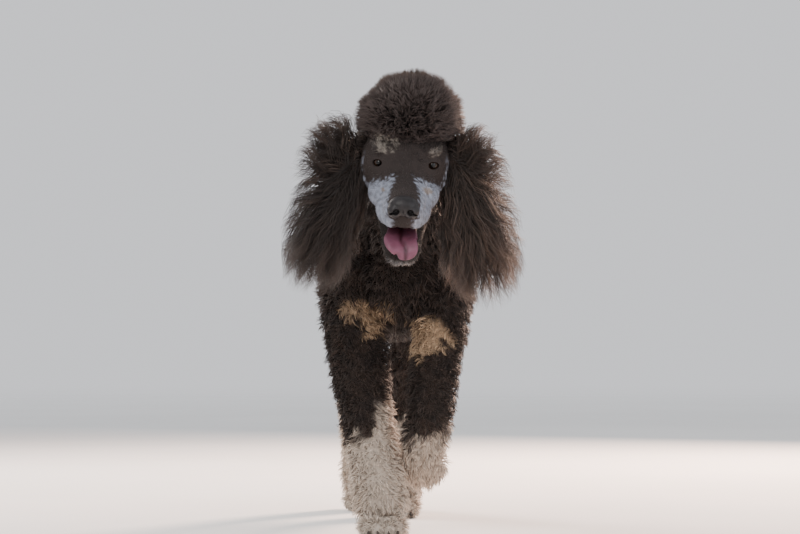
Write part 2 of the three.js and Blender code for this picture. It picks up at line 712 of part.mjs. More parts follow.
// The trunk and what is left of the legs, carved into nodes
const trunk = (grow) => joined([trunkCore(grow), ...coat(trunkRoots, grow)]);
let rest = joined([
  trunk(0),
  tailStem.solid(6),
  pomCore(0),
  ...coat(pomRoots, 0),
  ...Object.values(legs).map((leg) => leg.intersect(above(SHIN_TOP))),
]);
function carve(name, region, finish) {
  add(name, rest.intersect(region(0)), finish);
  rest = rest.subtract(region(GAP));
}
const upperFore = (low, high) => (g) => between(V(low, -350, 200), V(high, -118, ELBOW_TOP), g);
carve("foreleg_upper_right", upperFore(-160, 0), BLACK_COAT);
carve("foreleg_upper_left", upperFore(1, 160), BLACK_COAT);
carve("thigh_right", (g) => between(V(-200, 90, 200), V(-34, 400, THIGH_TOP), g), BLACK_COAT);
carve("thigh_left", (g) => between(V(-14, 60, 200), V(160, 330, THIGH_TOP), g), BLACK_COAT);
carve("tail", (g) => beyond(V(-30, 318, 525), V(0, 0.8, 0.6), g), BLACK_COAT);
const neckBase = (g) => beyond(V(4, -240, 478), V(0, -0.9, 0.43), g);
const besideNeck = joined([beforeNeck(GAP), crown(GAP)]);
add("neck", rest.intersect(neckBase(0)).subtract(besideNeck), BLACK_COAT);
rest = rest.subtract(neckBase(GAP));
carve("torso_rear", (g) => beyond(V(0, 40, 0), V(0, 1, 0), g), BLACK_COAT);
add("chest", rest, BLACK_COAT);

// The ears fit round the head, the topknot, the jaw and the trunk
const besideEars = joined([headGrown, crown(GAP), trunk(GAP), jawBody(GAP)]);
for (const [name, sizes] of Object.entries(EARS)) {
  add(name, ear(sizes, 0).subtract(besideEars), BLACK_COAT);
}

// Stand the dog on the floor, with the middle of its box on the axis
const box = new THREE.Box3().setFromObject(dog);
const shift = V(-(box.min.x + box.max.x) / 2, -(box.min.y + box.max.y) / 2, -box.min.z);
for (const mesh of dog.children) mesh.geometry.translate(shift.x, shift.y, shift.z);

export default dog;
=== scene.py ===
"""A standard poodle, life size, in mid walk: head low, ears flung out, mouth open.

Lengths are in millimetres in the dog's own frame, where it faces -Y and its left side is +X.
The Place class carries them to metres in the row's frame.
"""

from __future__ import annotations

import json
import logging
import math
from dataclasses import dataclass, field
from enum import Enum
from typing import Callable

import bmesh
import bpy
import numpy as np
from mathutils import Matrix, Quaternion, Vector
from mathutils.kdtree import KDTree

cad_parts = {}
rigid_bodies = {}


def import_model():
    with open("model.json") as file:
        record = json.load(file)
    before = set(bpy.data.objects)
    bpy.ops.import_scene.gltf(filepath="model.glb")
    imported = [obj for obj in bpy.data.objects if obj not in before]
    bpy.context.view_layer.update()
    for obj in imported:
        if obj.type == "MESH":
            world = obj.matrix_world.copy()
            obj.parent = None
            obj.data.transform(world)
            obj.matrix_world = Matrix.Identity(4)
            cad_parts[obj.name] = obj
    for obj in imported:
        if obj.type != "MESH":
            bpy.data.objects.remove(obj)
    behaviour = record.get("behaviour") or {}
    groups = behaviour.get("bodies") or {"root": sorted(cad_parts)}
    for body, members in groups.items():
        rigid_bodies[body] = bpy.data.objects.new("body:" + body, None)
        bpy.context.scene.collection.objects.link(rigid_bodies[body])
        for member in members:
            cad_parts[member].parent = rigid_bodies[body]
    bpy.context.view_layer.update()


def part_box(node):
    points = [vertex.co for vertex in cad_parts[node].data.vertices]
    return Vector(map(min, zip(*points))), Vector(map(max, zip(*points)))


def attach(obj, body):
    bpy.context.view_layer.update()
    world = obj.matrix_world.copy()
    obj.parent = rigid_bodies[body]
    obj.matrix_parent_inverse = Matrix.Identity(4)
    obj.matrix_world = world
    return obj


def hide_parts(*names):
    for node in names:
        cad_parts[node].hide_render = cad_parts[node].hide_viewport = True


log = logging.getLogger("poodle")

# Short names of types
Thing = bpy.types.Object
Mesh = bpy.types.Mesh
Material = bpy.types.Material
Rows = np.ndarray
Draw = np.random.Generator
Pair = tuple[float, float]
Triple = tuple[float, float, float]

# How long the tufts are on each part of the dog: the longest on the topknot, the shortest on
# the legs, face and feet
TRUNK_COAT = 21.0
LEG_COAT = 16.0
CROWN_COAT = 38.0
POM_COAT = 20.0
FACE_COAT = 4.4
FOOT_COAT = 8.0

# Head: the point between the eyes, and how the head is held
EYE_LINE = Vector((8.0, -470.0, 524.0))
HEAD_PITCH = 20.0
HEAD_ROLL = 3.0
EYE_SPAN = 36.5
EYE_R = 11.5
JAW_OPEN = 20.0
JAW_JOINT = (-55.0, -35.0)

# Hollow of the mouth, in s, f and u: the palate in the head, and the trough in the jaw
PALATE_AT = (0, 46, -64)
PALATE_R = (21.0, 58.0, 15.0)
TROUGH_AT = (0, 40, -46)
TROUGH_R = (16.0, 46.0, 11.0)

# Camera of the photograph: its distance, its height, its lens and its tilt in degrees
CAMERA_BACK = 4003.0
CAMERA_UP = 301.0
LENS_MM = 117.0
TILT_UP = 1.34

# Start of all random draws
SEED = 7

# Names: of the node that all rides, of the unwrap, and of what the vertices keep
ROOT = "root"
BAKE_MAP = "OFBake"
TINT = "tint"
WET = "wet"

# How far from the middle plane the ears' hair may reach
HAIR_SPAN = (-162.0, 174.0)

# The lowest that the skin's soles and a tuft may lie
SOLE_HIGH = 0.3
GROUND_GAP = 1.6

# How far the skin lies inside the sections of trunk and legs, under the coat
TRUNK_CORE = 6.0
LEG_CORE = 5.0

# The model's left eye, from which the row's frame is found
EYE_LEFT_MIDDLE = Vector((43.041, -465.302, 523.876))

# Where the tail's pom sits
POM_AT = Vector((-24, 392, 620))

# Half sizes of the topknot: of its core and out to its tips
CROWN_CORE = (46.0, 50.0, 42.0)
CROWN_TIPS = (74.0, 78.0, 67.0)


class Side(Enum):
    """The dog's own left and right."""

    LEFT = 1
    RIGHT = -1


class Part(Enum):
    """Stretches of the dog that wear their coat in their own way."""

    TRUNK = 0
    LEG = 1
    CROWN = 2
    POM = 3
    FACE = 4
    FOOT = 5


def nod(degrees: float) -> Quaternion:
    """A turn about the axis across the dog."""
    return Quaternion((1, 0, 0), math.radians(degrees))


def roll(degrees: float) -> Quaternion:
    """A turn about the axis along the dog."""
    return Quaternion((0, 1, 0), math.radians(degrees))


HEAD_TURN = roll(HEAD_ROLL) @ nod(HEAD_PITCH)
JAW_TURN = HEAD_TURN @ nod(JAW_OPEN)


def on_head(s: float, f: float, u: float) -> Vector:
    """Place in the dog's frame of a point of the head.

    Args:
        s: how far it lies to the dog's left of the point between the eyes.
        f: how far forward.
        u: how far up.

    Returns:
        The place.
    """
    return HEAD_TURN @ Vector((s, -f, u)) + EYE_LINE


def on_jaw(s: float, f: float, u: float) -> Vector:
    """Place of a point of the lower jaw, given as it would be with the mouth shut.

    Args:
        s: how far it lies to the dog's left.
        f: how far forward.
        u: how far up.

    Returns:
        The place in the dog's frame.
    """
    drop = math.radians(JAW_OPEN)
    df = f - JAW_JOINT[0]
    du = u - JAW_JOINT[1]
    opened_f = JAW_JOINT[0] + df * math.cos(drop) + du * math.sin(drop)
    opened_u = JAW_JOINT[1] - df * math.sin(drop) + du * math.cos(drop)
    return on_head(s, opened_f, opened_u)


CROWN_AT = on_head(0, -58, 45)


def head_frame(points: Rows) -> Rows:
    """Points of the dog's frame in the head's own s, f and u.

    Args:
        points: places in millimetres, one a row.

    Returns:
        The same places as rows of s, f and u.
    """
    turn = np.array(HEAD_TURN.to_matrix())
    local = (points - np.array(EYE_LINE)) @ turn
    return local * np.array([1.0, -1.0, 1.0])


def unit(rows: Rows) -> Rows:
    """Directions scaled to length one, along the last axis."""
    return rows / np.maximum(np.linalg.norm(rows, axis=-1, keepdims=True), 1e-9)


def ramp(low: float, high: float, x: Rows) -> Rows:
    """A smooth step from 0 at low to 1 at high."""
    t = np.clip((x - low) / (high - low), 0.0, 1.0)
    return t * t * (3.0 - 2.0 * t)


def blend(first: Rows, second: Rows, share: Rows) -> Rows:
    """A mix of two colours, with share from 0 for the first to 1 for the second."""
    return np.asarray(first) * (1.0 - share) + np.asarray(second) * share


def palate_reach(s: Rows, f: Rows, u: Rows) -> Rows:
    """How far each point lies from the middle of the palate, with 1 at its wall.

    Args:
        s: how far each lies to the left.
        f: how far forward.
        u: how far up.

    Returns:
        The reach, one for each point.
    """
    wide, long, high = PALATE_R
    ahead = (f - PALATE_AT[1]) / long
    up = (u - PALATE_AT[2]) / high
    return ((s / wide) ** 2 + ahead**2 + up**2) ** 0.5


@dataclass
class Waves:
    """Smooth noise in space, as a sum of seeded plane waves."""

    scale: float
    seed: int
    count: int = 14

    def __post_init__(self) -> None:
        """Draws the waves once."""
        rng = np.random.default_rng(self.seed)
        way = unit(rng.normal(size=(self.count, 3)))
        pitch = rng.uniform(0.6, 1.6, size=(self.count, 1))
        self.ways = way * pitch * 2.0 * math.pi / self.scale
        self.phases = rng.uniform(0.0, 2.0 * math.pi, size=self.count)
        self.aims = unit(rng.normal(size=(self.count, 3)))

    def value(self, points: Rows) -> Rows:
        """Noise from about -1 to 1 at each point."""
        return np.sin(points @ self.ways.T + self.phases).sum(axis=1) / math.sqrt(self.count)

    def vector(self, points: Rows) -> Rows:
        """Noise as a direction at each point, of a length up to about 1."""
        return np.sin(points @ self.ways.T + self.phases) @ self.aims / math.sqrt(self.count)


# Mesh handling


def clear_selection() -> None:
    """Deselects every object, in object mode."""
    if bpy.context.object and bpy.context.object.mode != "OBJECT":
        bpy.ops.object.mode_set(mode="OBJECT")
    bpy.ops.object.select_all(action="DESELECT")


def pick(obj: Thing) -> None:
    """Makes one object the selected and active one.

    Args:
        obj: the object.
    """
    clear_selection()
    obj.select_set(True)
    bpy.context.view_layer.objects.active = obj


def apply_modifier(obj: Thing, kind: str, **settings: object) -> None:
    """Adds a modifier to an object and applies it.

    Args:
        obj: the object.
        kind: Blender's name of the modifier type.
        settings: its properties.
    """
    pick(obj)
    modifier = obj.modifiers.new(kind.title(), kind)
    for name, value in settings.items():
        setattr(modifier, name, value)
    bpy.ops.object.modifier_apply(modifier=modifier.name)


def shade_smooth(obj: Thing, sharp: float | None = None) -> Thing:
    """Shades an object smooth.

    Args:
        obj: the object.
        sharp: the angle in degrees from which an edge stays sharp, where there is one.

    Returns:
        The object.
    """
    pick(obj)
    if sharp is None:
        bpy.ops.object.shade_smooth()
    else:
        bpy.ops.object.shade_smooth_by_angle(angle=math.radians(sharp))
    return obj


def join(pieces: list[Thing], name: str) -> Thing:
    """Joins meshes into the first of them and names it.

    Args:
        pieces: the meshes.
        name: the name of the whole.

    Returns:
        The joined mesh.
    """
    pick(pieces[0])
    for piece in pieces[1:]:
        piece.select_set(True)
    if len(pieces) > 1:
        bpy.ops.object.join()
    pieces[0].name = name
    pieces[0].data.name = name
    return pieces[0]


def fuse(pieces: list[Thing], name: str, voxel: float, smooth: int) -> Thing:
    """Melts overlapping closed meshes into one skin.

    Args:
        pieces: the meshes, in millimetres.
        name: the skin's name.
        voxel: the size of its faces.
        smooth: rounds of smoothing.

    Returns:
        The skin.
    """
    skin = join(pieces, name)
    apply_modifier(skin, "REMESH", mode="VOXEL", voxel_size=voxel)
    apply_modifier(skin, "SMOOTH", factor=0.5, iterations=smooth)
    return skin


def put_in_order(obj: Thing) -> None:
    """Sorts vertices and faces by place, because a cut leaves them in a chance order.

    Args:
        obj: the closed mesh, which gets new data.
    """
    mesh = obj.data
    points = coordinates(mesh)
    order = np.lexsort(points.T)
    rank = np.empty(len(order), dtype=np.int64)
    rank[order] = np.arange(len(order))
    faces = []
    for polygon in mesh.polygons:
        face = rank[list(polygon.vertices)].tolist()
        first = face.index(min(face))
        faces.append(face[first:] + face[:first])
    obj.data = bpy.data.meshes.new(obj.name)
    obj.data.from_pydata(points[order].tolist(), [], sorted(faces))
    bpy.data.meshes.remove(mesh)


def cut(obj: Thing, cutter: Thing) -> None:
    """Cuts one closed mesh out of another, and removes the cutter.

    Args:
        obj: the mesh that is cut.
        cutter: the mesh that is taken away.
    """
    apply_modifier(obj, "BOOLEAN", operation="DIFFERENCE", object=cutter, solver="EXACT")
    bpy.data.objects.remove(cutter)
    put_in_order(obj)


def spike(base: float, tip: float, length: float, sides: int, smoothness: float = 0.0) -> Thing:
    """A slender cone, divided so that it can be bent.

    Args:
        base: its radius at the foot.
        tip: its radius at the tip.
        length: its length.
        sides: its faces round.
        smoothness: how far dividing rounds it.

    Returns:
        The mesh, upright about the origin.
    """
    clear_selection()
    bpy.ops.mesh.primitive_cone_add(vertices=sides, radius1=base, radius2=tip, depth=length)
    bpy.ops.object.mode_set(mode="EDIT")
    bpy.ops.mesh.subdivide(number_cuts=3, smoothness=smoothness)
    bpy.ops.object.mode_set(mode="OBJECT")
    return bpy.context.object


def egg(at: Vector, radii: Triple, turn: Quaternion, segments: int = 32) -> Thing:
    """An ellipsoid with its own turn.

    Args:
        at: its centre.
        radii: its half sizes.
        turn: its turn.
        segments: its faces round.

    Returns:
        The mesh, with its place applied.
    """
    clear_selection()
    bpy.ops.mesh.primitive_uv_sphere_add(segments=segments, ring_count=segments // 2, radius=1.0)
    obj = bpy.context.object
    obj.data.transform(Matrix.LocRotScale(at, turn, Vector(radii)))
    return obj


def coordinates(mesh: Mesh) -> Rows:
    """The mesh's vertices, one a row.

    Args:
        mesh: the mesh.

    Returns:
        Rows of x, y and z.
    """
    rows = np.empty(len(mesh.vertices) * 3, dtype=np.float32)
    mesh.vertices.foreach_get("co", rows)
    return rows.reshape(-1, 3).astype(np.float64)


def set_coordinates(mesh: Mesh, rows: Rows) -> None:
    """Moves the mesh's vertices to new places."""
    mesh.vertices.foreach_set("co", rows.astype(np.float32).ravel())
    mesh.update()


def vertex_normals(mesh: Mesh) -> Rows:
    """The mesh's vertex normals, one a row.

    Args:
        mesh: the mesh.

    Returns:
        Directions of length one.
    """
    rows = np.empty(len(mesh.vertices) * 3, dtype=np.float32)
    mesh.vertex_normals.foreach_get("vector", rows)
    return rows.reshape(-1, 3).astype(np.float64)


def paint(mesh: Mesh, tints: Rows, wet: Rows | None = None) -> None:
    """Keeps a colour, and where it is given a wetness, for each vertex in the mesh.

    Args:
        mesh: the mesh.
        tints: linear colours, one a vertex.
        wet: how wet each vertex is, from 0 to 1.
    """
    layer = mesh.color_attributes.new(name=TINT, type="FLOAT_COLOR", domain="POINT")
    rows = np.ones((len(tints), 4), dtype=np.float32)
    rows[:, :3] = np.clip(tints, 0.0, 1.0)
    layer.data.foreach_set("color", rows.ravel())
    if wet is not None:
        damp = mesh.attributes.new(name=WET, type="FLOAT", domain="POINT")
        damp.data.foreach_set("value", wet.astype(np.float32))


@dataclass(frozen=True)
class Station:
    """One section of a limb: its place, half its width and half its depth."""

    name: str
    x: float
    y: float
    z: float
    wide: float
    deep: float


@dataclass
class Sweep:
    """A closed body swept through stations."""

    stations: tuple[Station, ...]
    side: Vector = field(default_factory=lambda: Vector((1, 0, 0)))
    sides: int = 32
    rings: int = 28
    keel: float = 0.0
    dome: float = 0.6

    def along(self, values: list[Vector], t: float) -> Vector:
        """A smooth value through a list of values, with t from 0 to 1.

        Args:
            values: the values to pass through.
            t: how far along.

        Returns:
            The value there.
        """
        last = len(values) - 1
        index = min(int(last * t), last - 1)
        w = last * t - index
        here = values[index]
        ahead = values[index + 1]
        before = values[index - 1] if index > 0 else here * 2 - ahead
        after = values[index + 2] if index + 2 <= last else ahead * 2 - here
        leave = (ahead - before) * 0.5
        arrive = (after - here) * 0.5
        square = here * -3 + ahead * 3 - leave * 2 - arrive
        cube = here * 2 - ahead * 2 + leave + arrive
        return here + leave * w + square * w * w + cube * w * w * w

    def centre(self, t: float) -> Vector:
        """The middle of the section at t."""
        return self.along([Vector((s.x, s.y, s.z)) for s in self.stations], t)

    def half_sizes(self, t: float) -> Vector:
        """Half width and half depth of the section at t."""
        return self.along([Vector((s.wide, s.deep, 0)) for s in self.stations], t)

    def section(self, t: float, grow: float) -> Matrix:
        """The matrix that carries a unit circle to the section at t.

        Args:
            t: the place along the body, with the round ends below 0 and above 1.
            grow: how much larger than the stations the section is.

        Returns:
            The matrix.
        """
        inside = min(max(t, 0.0), 1.0)
        over = t - inside
        ahead = self.centre(min(inside + 1e-3, 1.0))
        tangent = (ahead - self.centre(max(inside - 1e-3, 0.0))).normalized()
        third = tangent.cross(self.side).normalized()
        across = third.cross(tangent).normalized()
        size = self.half_sizes(inside)
        angle = min(1.0, abs(over)) * math.pi / 2
        reach = math.sin(angle) * (min(size.x, size.y) * self.dome + grow) * math.copysign(1.0, over)
        shrink = max(math.cos(angle), 0.04)
        matrix = Matrix.Identity(4)
        matrix.col[0] = (across * (size.x + grow) * shrink).to_4d()
        matrix.col[1] = (third * (size.y + grow) * shrink).to_4d()
        matrix.col[2] = tangent.to_4d()
        matrix.col[3] = (self.centre(inside) + tangent * reach).to_4d()
        for column in range(3):
            matrix[3][column] = 0.0
        return matrix

    def build(self, name: str, grow: float = 0.0) -> Thing:
        """Extrudes the body ring by ring.

        Args:
            name: the mesh's name.
            grow: how much larger than the stations it is.

        Returns:
            The closed mesh.
        """
        clear_selection()
        bpy.ops.mesh.primitive_circle_add(vertices=self.sides, radius=1.0, fill_type="NGON")
        obj = bpy.context.object
        obj.name = name
        for vertex in obj.data.vertices:
            if vertex.co.y > 0:
                vertex.co.x *= 1.0 - self.keel * vertex.co.y**2
        bpy.ops.object.mode_set(mode="EDIT")
        stops = [-1.0, -0.7, -0.4] + [i / self.rings for i in range(self.rings + 1)] + [1.4, 1.7, 2.0]
        before = Matrix.Identity(4)
        for number, stop in enumerate(stops):
            if number:
                bpy.ops.mesh.extrude_region_move()
            section = self.section(stop, grow)
            step = section @ before.inverted()
            sheet = bmesh.from_edit_mesh(obj.data)
            for vertex in sheet.verts:
                if vertex.select:
                    vertex.co = step @ vertex.co
            bmesh.update_edit_mesh(obj.data)
            before = section
        bpy.ops.mesh.select_all(action="SELECT")
        bpy.ops.mesh.normals_make_consistent(inside=False)
        bpy.ops.object.mode_set(mode="OBJECT")
        return obj


# Colours


@dataclass(frozen=True)
class Palette:
    """The coat's colours, linear."""

    black: Triple = (0.017, 0.0122, 0.0105)
    warm: Triple = (0.044, 0.029, 0.022)
    dusk: Triple = (0.028, 0.0205, 0.0185)
    cream: Triple = (0.49, 0.415, 0.345)
    tan: Triple = (0.45, 0.315, 0.20)
    grey: Triple = (0.27, 0.293, 0.352)
    brow: Triple = (0.20, 0.175, 0.15)
    spot: Triple = (0.20, 0.15, 0.105)
    mouth: Triple = (0.10, 0.022, 0.026)


@dataclass(frozen=True)
class Patch:
    """A soft oval patch of colour: its middle and its half sizes."""

    at: Pair
    half: Pair

    def amount(self, across: Rows, up: Rows) -> Rows:
        """How far each point lies inside the patch, from 0 to 1."""
        reach = np.hypot((across - self.at[0]) / self.half[0], (up - self.at[1]) / self.half[1])
        return 1.0 - ramp(0.78, 1.12, reach)


# Patches of the body, in x and z
CHEST_RIGHT = Patch((-37.0, 316.0), (46.0, 24.0))
CHEST_LEFT = Patch((34.0, 287.0), (40.0, 28.0))
VENT = Patch((0.0, 0.0), (26.0, 34.0))

# Patches of the face: the temple in f and the drop from the eyes, the rest in s and u or the drop
TEMPLE = Patch((-24.0, 10.0), (11.0, 27.0))
BROW_RIGHT = Patch((-28.0, 27.0), (17.0, 12.0))
BROW_LEFT = Patch((39.0, 18.0), (11.0, 6.0))
SPOT_RIGHT = Patch((-29.0, 39.0), (3.6, 3.0))
SPOT_LEFT = Patch((31.0, 37.0), (6.5, 4.6))
LONG_BROW = Patch((32.0, 27.0), (20.0, 13.0))

# Above this height a cream patch is the tan of the chest, below it a stocking
CHEST_LOW = 230.0


@dataclass
class Markings:
    """Where the cream, tan and grey of the coat lie, the same for skin and coat."""

    palette: Palette = field(default_factory=Palette)

    def __post_init__(self) -> None:
        """Makes the noise that breaks the edges of the patches."""
        self.edge = Waves(22.0, SEED)
        self.fine = Waves(7.0, SEED + 1)
        self.tuft = Waves(6.5, SEED + 2)
        self.streak = Waves(5.5, SEED + 3)
        self.drift = Waves(52.0, SEED + 4)

    def body(self, points: Rows) -> Rows:
        """Colour of the coat of body and legs.

        Args:
            points: places in the dog's frame, one a row.

        Returns:
            Linear colours, one a row.
        """
        x, y, z = points.T
        rough = 7.0 * self.edge.value(points) + 3.0 * self.fine.value(points)
        front = 1.0 - ramp(-225.0, -195.0, y)
        slant = z + 0.36 * (x + 37.0)
        chest = CHEST_RIGHT.amount(x + rough, slant + rough)
        chest = np.maximum(chest, CHEST_LEFT.amount(x + rough, z - rough))
        chest = chest * front * ramp(4.0, 12.0, np.abs(x - 1.0))
        inner = 1.0 - ramp(-62.0, -14.0, x)
        right_top = 207.0 - 73.0 * inner
        right = (x < 2.0) & (y < 0)
        left_top = 138.0 + 14.0 * ramp(34.0, 62.0, x)
        fore_top = np.where(right, right_top, left_top)
        hind_top = 150.0 + 30.0 * ramp(0.0, 40.0, y - 250.0)
        top = np.where(y < 0, fore_top, hind_top) + 9.0 * self.drift.value(points)
        stocking = 1.0 - ramp(-10.0, 10.0, z - top + 1.6 * rough)
        vent = VENT.amount(x + 30.0, z - 470.0) * ramp(290.0, 305.0, y)
        amount = np.maximum(np.maximum(chest, stocking), vent)[:, None]
        far = ramp(-40.0, -90.0, x) * 0.35
        speckle = (1.0 - far) * (0.6 + 0.4 * ramp(-0.9, 0.3, self.fine.value(points)))
        on_chest = (z > CHEST_LOW)[:, None]
        cream = np.where(on_chest, np.array(self.palette.tan), np.array(self.palette.cream))
        black = np.array(self.palette.black)
        warmth = 0.35 + 0.3 * self.edge.value(points)[:, None].clip(-1, 1)
        dark = black + (np.array(self.palette.warm) - black) * warmth
        amount = np.where(on_chest, amount * speckle[:, None], amount)
        return blend(dark, cream, amount)

    def face(self, points: Rows) -> Rows:
        """Colour of the short fur of the head.

        Args:
            points: places in the dog's frame, one a row.

        Returns:
            Linear colours, one a row.
        """
        s, f, u = head_frame(points).T
        wide = np.abs(s)
        pal = self.palette
        rough = 1.8 * self.fine.value(points)
        drop = 0.34 * f - 0.94 * u
        stripe = 13.5 + 7.5 * ramp(50.0, 98.0, f)
        stripe = np.where(u < -42.0, 13.0, stripe)
        white = ramp(-2.5, 3.5, wide - stripe + 1.3 * rough)
        white = white * ramp(-3.5, 4.0, drop - 21.0 - 0.2 * (wide - 12.0) + 2.0 * rough)
        white = white * ramp(-34.0, -16.0, f + rough)
        streak = self.streak.value(points * np.array([1.0, 0.3, 0.55]))
        temple = TEMPLE.amount(f + rough, drop) * ramp(45.0, 53.0, wide + 2.2 * rough)
        temple = temple * (0.2 + 0.8 * ramp(-14.0, 10.0, drop)) * ramp(-0.75, 0.55, streak)
        white = np.maximum(white, temple * 0.85)
        white = white * ramp(1.05, 1.24, palate_reach(s, f, u) + 0.02 * rough)
        white = white * (0.6 + 0.4 * ramp(-1.1, 0.7, streak))
        white = white * (1.0 - 0.3 * ramp(16.0, 34.0, s) * ramp(42.0, 62.0, drop))
        tuft = ramp(-0.5, 0.5, self.tuft.value(points))
        brow = BROW_RIGHT.amount(s + rough, u)
        brow = np.maximum(brow, BROW_LEFT.amount(s + rough, u) * 0.7)
        brow = brow * ramp(-32.0, -16.0, f) * (0.04 + 0.96 * ramp(0.1, 0.8, tuft))
        spot = SPOT_RIGHT.amount(s + rough, drop) * 0.8
        spot = np.maximum(spot, SPOT_LEFT.amount(s + rough, drop + rough) * 0.7)
        spot = spot * ramp(0.0, 10.0, f)
        colour = blend(pal.dusk, pal.grey, white[:, None])
        colour = colour * (1.0 - 0.12 * (wide > 38.0)[:, None] * white[:, None])
        for mask, tint in ((brow, pal.brow), (spot, pal.spot)):
            colour = blend(colour, tint, mask[:, None])
        return colour

    def jaw(self, points: Rows) -> Rows:
        """Colour of the lower jaw: dark lips, pale chin.

        Args:
            points: places in the dog's frame, one a row.

        Returns:
            Linear colours, one a row.
        """
        f, u = head_frame(points)[:, 1:].T
        line = -60.0 - 0.36 * (f + 55.0)
        depth = line - u
        pal = self.palette
        chin = ramp(6.0, 14.0, depth)[:, None] * ramp(-20.0, 20.0, f)[:, None]
        pale = np.array(pal.grey) * 0.3 + np.array(pal.cream) * 0.25
        return blend(pal.black, pale, chin)

    def mouth(self, points: Rows) -> Rows:
        """How far each point lies in the wet hollow of the mouth, from 0 to 1.

        Args:
            points: places in the dog's frame, one a row.

        Returns:
            The share, one for each point.
        """
        s, f, u = head_frame(points).T
        turn = np.array(JAW_TURN.to_matrix())
        local = (points - np.array(on_jaw(*TROUGH_AT))) @ turn / np.array(TROUGH_R)
        trough = np.linalg.norm(local, axis=1)
        return 1.0 - ramp(1.0, 1.12, np.minimum(palate_reach(s, f, u), trough))

    def everywhere(self, points: Rows) -> Rows:
        """Colour of the coat at any place.

        Args:
            points: places in the dog's frame, one a row.

        Returns:
            Linear colours, one a row.
        """
        s, f, u = head_frame(points).T
        near_head = (points[:, 2] > 360.0) & (points[:, 1] < -380.0)
        colour = self.body(points)
        on_face = near_head & (f > -64.0) & (np.abs(s) < 61.0)
        colour[on_face] = self.face(points[on_face])
        lower = near_head & (u < -57.0 - 0.36 * f) & (f > -50.0)
        colour[lower] = self.jaw(points[lower])
        inside = (self.mouth(points) * near_head)[:, None]
        return blend(colour, self.palette.mouth, inside)


# Coat

# Half the size of a tuft on the skin's unwrap
UV_HALF = 0.0014

# The most triangles that a piece of coat may have
PIECE_TRIANGLES = 185000


@dataclass(frozen=True)
class Roots:
    """Where tufts grow: places, outward normals and places on the skin's unwrap."""

    at: Rows
    normal: Rows
    uv: Rows

    def take(self, which: Rows) -> "Roots":
        """The roots that a mask or a list of numbers picks."""
        return Roots(self.at[which], self.normal[which], self.uv[which])

    def __len__(self) -> int:
        """How many roots there are."""
        return len(self.at)


def scatter(skin: Thing, count: int, density: Callable[[Rows], Rows], rng: Draw) -> Roots:
    """Spreads roots over a skin.

    Args:
        skin: the skin, with its unwrap.
        count: how many roots.
        density: gives the weight of each place of an array.
        rng: the random draw.

    Returns:
        The roots.
    """
    mesh = skin.data
    mesh.calc_loop_triangles()
    total = len(mesh.loop_triangles)
    corners = np.empty(total * 3, dtype=np.int32)
    loops = np.empty(total * 3, dtype=np.int32)
    mesh.loop_triangles.foreach_get("vertices", corners)
    mesh.loop_triangles.foreach_get("loops", loops)
    corners = corners.reshape(-1, 3)
    loops = loops.reshape(-1, 3)
    uv = np.empty(len(mesh.loops) * 2, dtype=np.float32)
    mesh.uv_layers[BAKE_MAP].data.foreach_get("uv", uv)
    uv = uv.reshape(-1, 2)
    points = coordinates(mesh)
    normals = vertex_normals(mesh)
    a, b, c = points[corners[:, 0]], points[corners[:, 1]], points[corners[:, 2]]
    area = 0.5 * np.linalg.norm(np.cross(b - a, c - a), axis=1)
    weight = area * density((a + b + c) / 3.0)
    steps = np.cumsum(weight)
    aims = (np.arange(count) + rng.uniform(size=count)) / count * steps[-1]
    chosen = np.searchsorted(steps, aims).clip(0, total - 1)
    share = rng.uniform(size=(count, 2))
    over = share.sum(axis=1) > 1.0
    share[over] = 1.0 - share[over]
    weights = np.column_stack([1.0 - share.sum(axis=1), share])[:, :, None]
    return Roots(
        (points[corners[chosen]] * weights).sum(axis=1),
        unit((normals[corners[chosen]] * weights).sum(axis=1)),
        (uv[loops[chosen]] * weights).sum(axis=1),
    )


@dataclass
class Cut:
    """How a stretch of coat is cut: the size and habit of its tufts.

    A tuft leaves the skin by lift and ends by stand, each from 0 for flat to 1 for upright.
    Mess, curl and turns say how it wanders. It has so many rings, and leans by gather to the
    leading tuft of its herd. Spread and grizzle vary its length and its tint.
    """

    length: float
    thick: float
    lift: float
    stand: float
    mess: float
    curl: float
    turns: float
    rings: int
    gather: float
    herd: int
    spread: float = 0.12
    grizzle: float = 0.13


